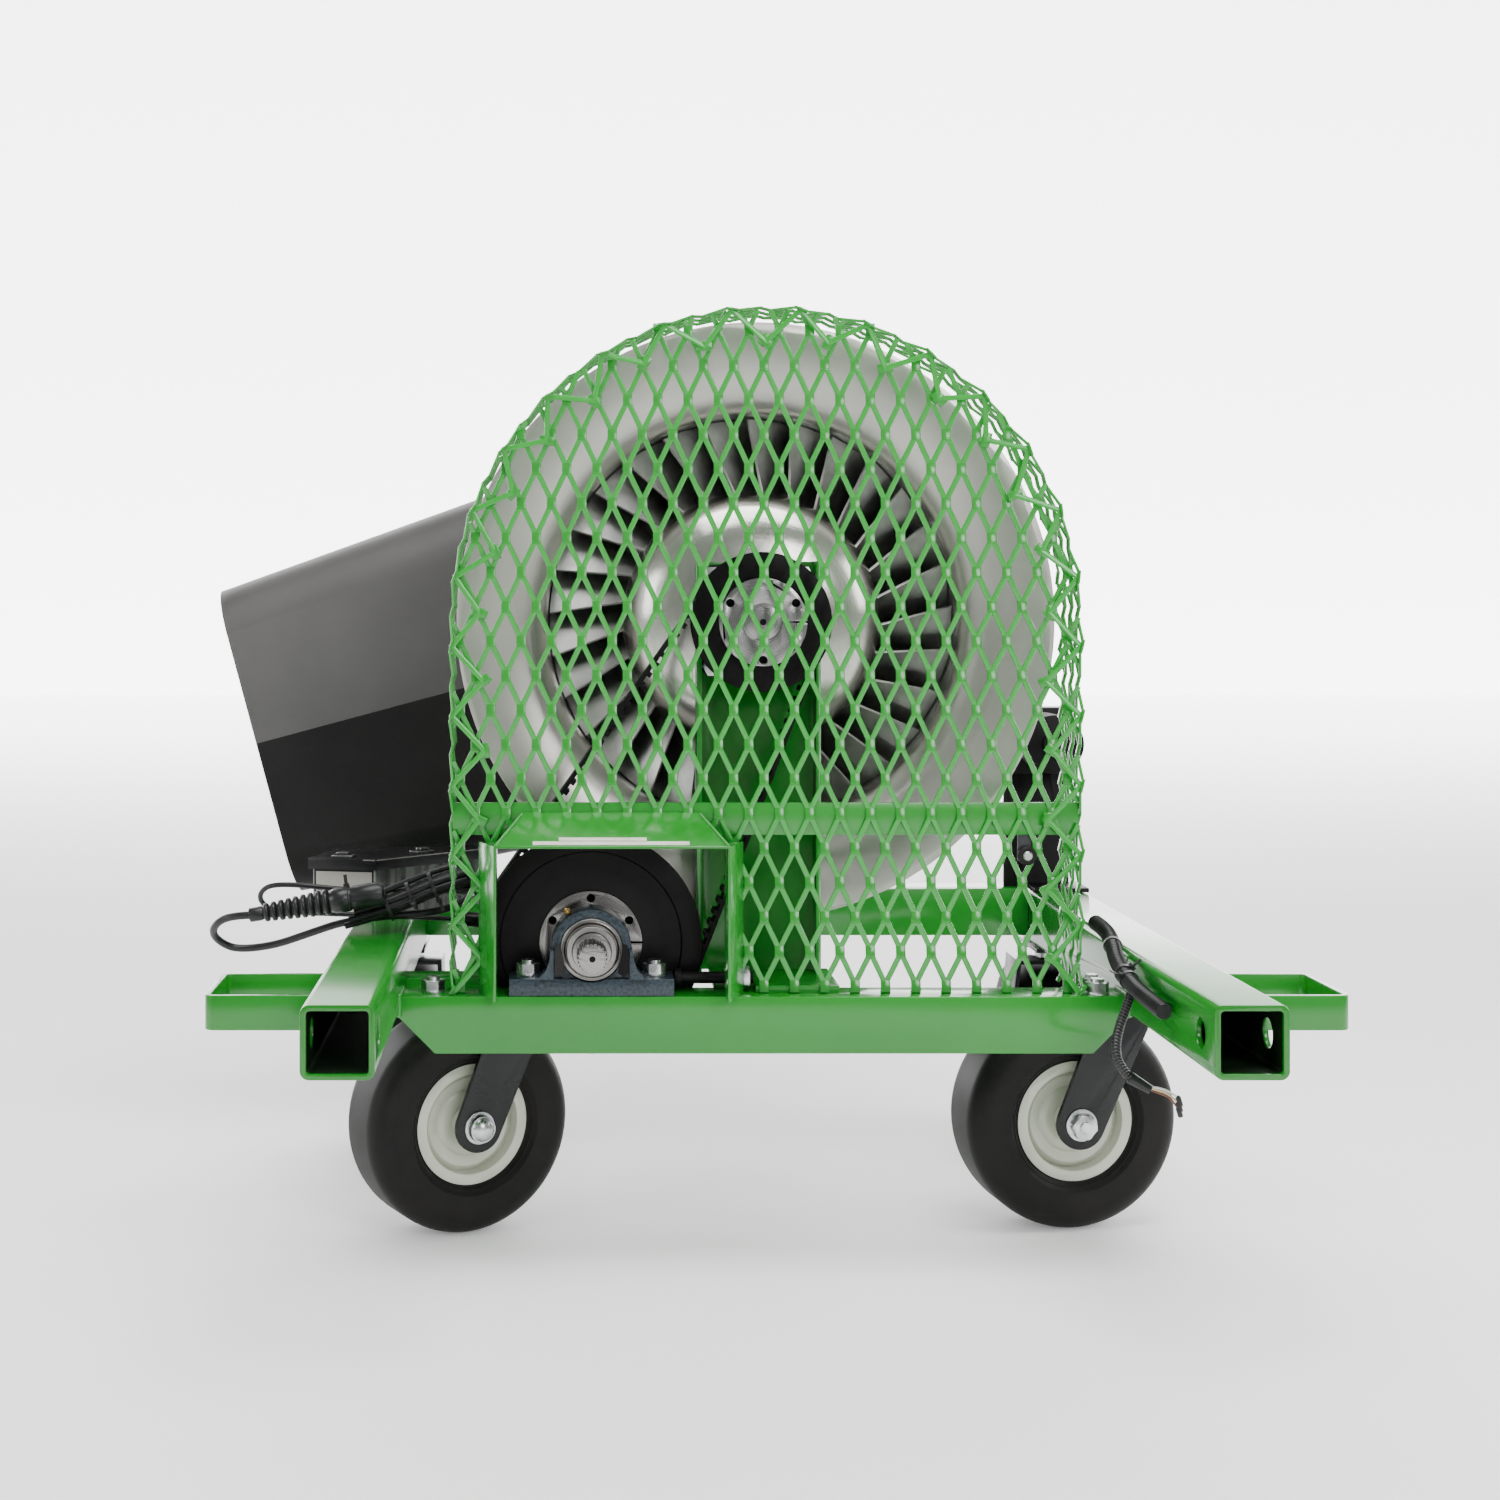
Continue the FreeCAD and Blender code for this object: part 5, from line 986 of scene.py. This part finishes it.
def face_plate(name, a, b, low, high, margin, finish, proud=0.5):
    """Thin plate on the wall that runs from a to b, its margins left at both ends."""
    start, end = Vector((*a, 0)), Vector((*b, 0))
    way = (end - start).normalized()
    out = Vector((way.y, -way.x, 0))
    start += way * margin
    end -= way * margin
    middle = (start + end) / 2 + out * (proud / 2 - 0.2)
    size = ((end - start).length, proud, high - low)
    piece = brick(at(middle.x, middle.y, (low + high) / 2), size, finish,
                  frame_of(way, out, Vector((0, 0, 1))))
    piece.name = name
    return piece


BOX_CORNERS = ((-555, 586), (-474, 571), (-345, 690))
cream_label = tinted("cream_label", (0.30, 0.29, 0.26), (0.40, 0.385, 0.35), 14, (0.35, 0.5), grain=600,
                     depth=0.05)
streaked = tinted("streaked_plate", (0.012, 0.013, 0.013), (0.17, 0.18, 0.175), 3, (0.2, 0.35), grain=200,
                  depth=0.05,
                  stretch=(26, 26, 0.6), detail=8)
lid_line = tinted("lid_line", (0.16, 0.16, 0.15), (0.26, 0.26, 0.25), 20, (0.3, 0.4), metal=0.6, grain=500)
belongs(face_plate("box_label", *BOX_CORNERS[:2], 386, 438, 4, cream_label), "frame", "box_grey")
belongs(face_plate("box_label_rim", *BOX_CORNERS[:2], 383, 441, 1.5, lid_skin, 0.35), "frame", "box_grey")
belongs(face_plate("box_side_plate", *BOX_CORNERS[1:], 382, 441, 1.5, streaked), "frame", "box_grey")
rim_corners = ((-561.5, 582.8), (-472.6, 566.0), (-338.6, 688.6))
for k in (0, 1):
    belongs(face_plate("lid_edge_line_%d" % k, *rim_corners[k:k + 2], 453.2, 454.7, 1, lid_line, 0.6),
            "box_lid",
            "box_lid_grey")

# ---------------------------------------------------------------- cable ends and ties
# A ribbed strain-relief boot that widens into the plug body, with a clamp collar at its small end, a taped
# bundle beside the box, nylon ties and the corrugations of the loom.
TOE = Vector(CABLE_ROUTE[-1])
BOOT_WAY = (Vector((-430, 428, 436)) - TOE).normalized()
boot_profile = [(4.6, 0), (8.4, 0.6), (8.8, 1.6), (8.8, 15), (8.0, 16.5)]
for k in range(9):
    foot = 7.4 + 0.6 * k
    z = 18 + 9.2 * k
    boot_profile += [(foot, z), (foot + 3.0, z + 1.0), (foot + 3.9, z + 2.4), (foot + 3.8, z + 5.2),
                     (foot + 2.8, z + 6.4),
                     (foot + 0.1, z + 7.3)]
boot_profile += [(14.0, 103), (15.4, 106), (15.5, 122), (13.6, 124), (13.6, 128), (14.5, 130), (14.5, 160),
                 (12, 165),
                 (0, 165)]
belongs(lathe("boot_ribs", boot_profile, at(*TOE), BOOT_WAY, cable_rubber, 36, 50), "frame", "cable_black",
        "cable_boot")
take_over("cable_fittings", 0.5, cable_rubber)


def cable_tie(name, centre, axis, radius, finish, twist=0.0):
    """Nylon tie: flat band, ratchet head and a short cut tail."""
    band = lathe(name, [(radius, -2.2), (radius + 1.2, -2.2), (radius + 1.2, 2.2), (radius, 2.2),
                        (radius, -2.2)], centre,
                 axis, finish, 28)
    side = Matrix.Rotation(twist, 3, axis) @ axis.orthogonal().normalized()
    turn = frame_of(side, axis.cross(side), axis)
    head = brick(centre + side * (radius + 2) / 1000, (4.8, 6.5, 6.8), turn=turn)
    tail = brick(centre + side * (radius + 9) / 1000, (13, 1.3, 4.2), turn=turn)
    bpy.ops.object.select_all(action="DESELECT")
    for piece in (band, head, tail):
        piece.select_set(True)
    bpy.context.view_layer.objects.active = band
    bpy.ops.object.join()
    band.data.materials.clear()
    band.data.materials.append(finish)
    return belongs(band, "frame", "cable_black")


tie_nylon = tinted("tie_nylon", (0.006, 0.006, 0.006), (0.012, 0.012, 0.012), 40, (0.3, 0.45), grain=600)
cable_tie("cable_tie_plug", at(*(TOE + BOOT_WAY * 122)), BOOT_WAY, 13.7, tie_nylon, 0.6)
BUNDLE = ((-488, 458, 400), (-455, 456, 409), (-418, 458, 424), (-380, 462, 440), (-345, 468, 449))
tape = tinted("cloth_tape", (0.004, 0.004, 0.004), (0.014, 0.014, 0.013), 90, (0.4, 0.6), grain=700,
              depth=0.6,
              stretch=(1, 1, 3), spec=0.3)
belongs(cord("bundle_core", BUNDLE[1:], 25, tape), "frame", "cable_black")
for k, (dy, dz, thick) in enumerate(((-11, 6, 8), (-12, -4, 9), (-5, -12, 8), (4, 12, 8))):
    belongs(cord("bundle_strand_%d" % k, [(x - 6 * k, y + dy, z + dz) for x, y, z in BUNDLE], thick,
                 cable_rubber), "frame",
            "cable_black")
for k, (x, y, z) in enumerate(((-447, 456, 412), (-419, 458, 424), (-392, 461, 436))):
    cable_tie("bundle_tie_%d" % k, at(x, y, z), Vector((0.92, 0.05, 0.38)).normalized(), 17.5, tie_nylon,
              1.4 + 1.1 * k)


def line_of(piece):
    """Points along a cable's centre line, read from its own spline."""
    thick = piece.data.bevel_depth
    piece.data.bevel_depth = 0
    bpy.context.view_layer.update()
    shape = bpy.data.meshes.new_from_object(piece.evaluated_get(bpy.context.evaluated_depsgraph_get()))
    piece.data.bevel_depth = thick
    return [vertex.co.copy() for vertex in shape.vertices]


def loom_rings(name, points, pitch, radius, finish):
    """Corrugations of a split loom: one ring every pitch along the line."""
    copies = []
    left = pitch / 2
    for a, b in zip(points, points[1:]):
        run = (b - a).length
        while left < run:
            copies.append(((a + (b - a) * left / run), (b - a).normalized()))
            left += pitch
        left -= run
    bpy.ops.object.select_all(action="DESELECT")
    bpy.ops.mesh.primitive_torus_add(major_radius=radius, minor_radius=pitch * 0.3, major_segments=18,
                                     minor_segments=6)
    ring = bpy.context.object
    rings = []
    for centre, way in copies:
        mesh = ring.data.copy()
        mesh.transform(Matrix.Translation(centre) @ way.to_track_quat("Z", "Y").to_matrix().to_4x4())
        copy = bpy.data.objects.new("ring", mesh)
        bpy.context.collection.objects.link(copy)
        rings.append(copy)
    bpy.data.objects.remove(ring)
    return joined(rings, name, finish)


loom_plastic = tinted("loom_plastic", (0.005, 0.005, 0.005), (0.014, 0.014, 0.014), 30, (0.25, 0.4),
                      grain=600)
belongs(loom_rings("loom_corrugations", line_of(harness_loom), 0.0042, (LOOM_THICK - 2.4) / 2000,
                   loom_plastic),
        "frame", "cable_black")
belongs(loom_rings("lead_corrugations", line_of(harness_lead), 0.0036, (LEAD_THICK - 0.8) / 2000,
                   loom_plastic),
        "frame", "cable_black")
loom_line = line_of(harness_loom)
for k, share in enumerate((0.34, 0.62, 0.68)):
    spot = int(share * (len(loom_line) - 2))
    cable_tie("loom_tie_%d" % k, loom_line[spot], (loom_line[spot + 1] - loom_line[spot]).normalized(),
              LOOM_THICK / 2 + 0.3,
              tie_nylon, 1.2 + 1.9 * k)

# Three stripped wires with crimped black ends that leave the lead's sleeve.
for name, colour, drop in (("cream", (0.62, 0.50, 0.30), 0), ("white", (0.7, 0.7, 0.68), 3),
                           ("brown", (0.14, 0.05, 0.025), -3)):
    wire = cord("wire_" + name, [(416, 209, 247 + drop / 2), (428, 206, 245 + drop), (440, 205, 240 + drop),
                                 (447, 204, 232 + 2 * drop)], 2.4,
                plain_material("wire_" + name, colour, 0.4))
    belongs(wire, "frame", "cable_black")
    belongs(lathe("crimp_" + name, [(0, -5), (2.6, -5), (3.0, -4), (3.0, 5), (1.6, 7), (0, 7)],
                  at(449, 204, 227 + 2 * drop), Vector((-0.3, 0, 1)).normalized(), tie_nylon, 16), "frame",
            "cable_black")

# ---------------------------------------------------------------- small parts
# Red and black leads on the nozzle motor, the black rubber buffer under the guard's crossbar, and the nut on
# the tension screw.
for name, colour, shift in (("red", (0.45, 0.012, 0.012), 0), ("black", (0.01, 0.01, 0.01), 7)):
    lead = cord("motor_lead_" + name, [(455, 742 - shift, 628), (462, 730 - shift, 640),
                                       (470, 722 - shift, 628),
                                       (466, 726, 600), (458, 738, 590)], 3.4,
                plain_material("motor_lead_" + name, colour, 0.35))
    belongs(lead, "frame", "cable_black")
tab = brick(at(310, 342, 500), (20, 3, 36), black_paint)
tab.name = "buffer_tab"
belongs(tab, "frame", "black_steel")
belongs(lathe("rubber_buffer", [(0, 9), (9.5, 9), (11, 7.5), (11, 0), (0, 0)], at(310, 340.5, 489), FORE,
              tyre_rubber, 32),
        "frame", "black_steel")
belongs(lathe("buffer_bolt", [(0, 12), (4.4, 12), (5.6, 10.5), (5.6, 9), (0, 9)], at(310, 340.5, 489), FORE,
              zinc_plate,
              24), "frame", "zinc")
belongs(hexagon("tension_nut", 24.5, 9, at(-22.5, 352, 343.5), Vector((1, 0, 0)), zinc_plate), "frame",
        "zinc")
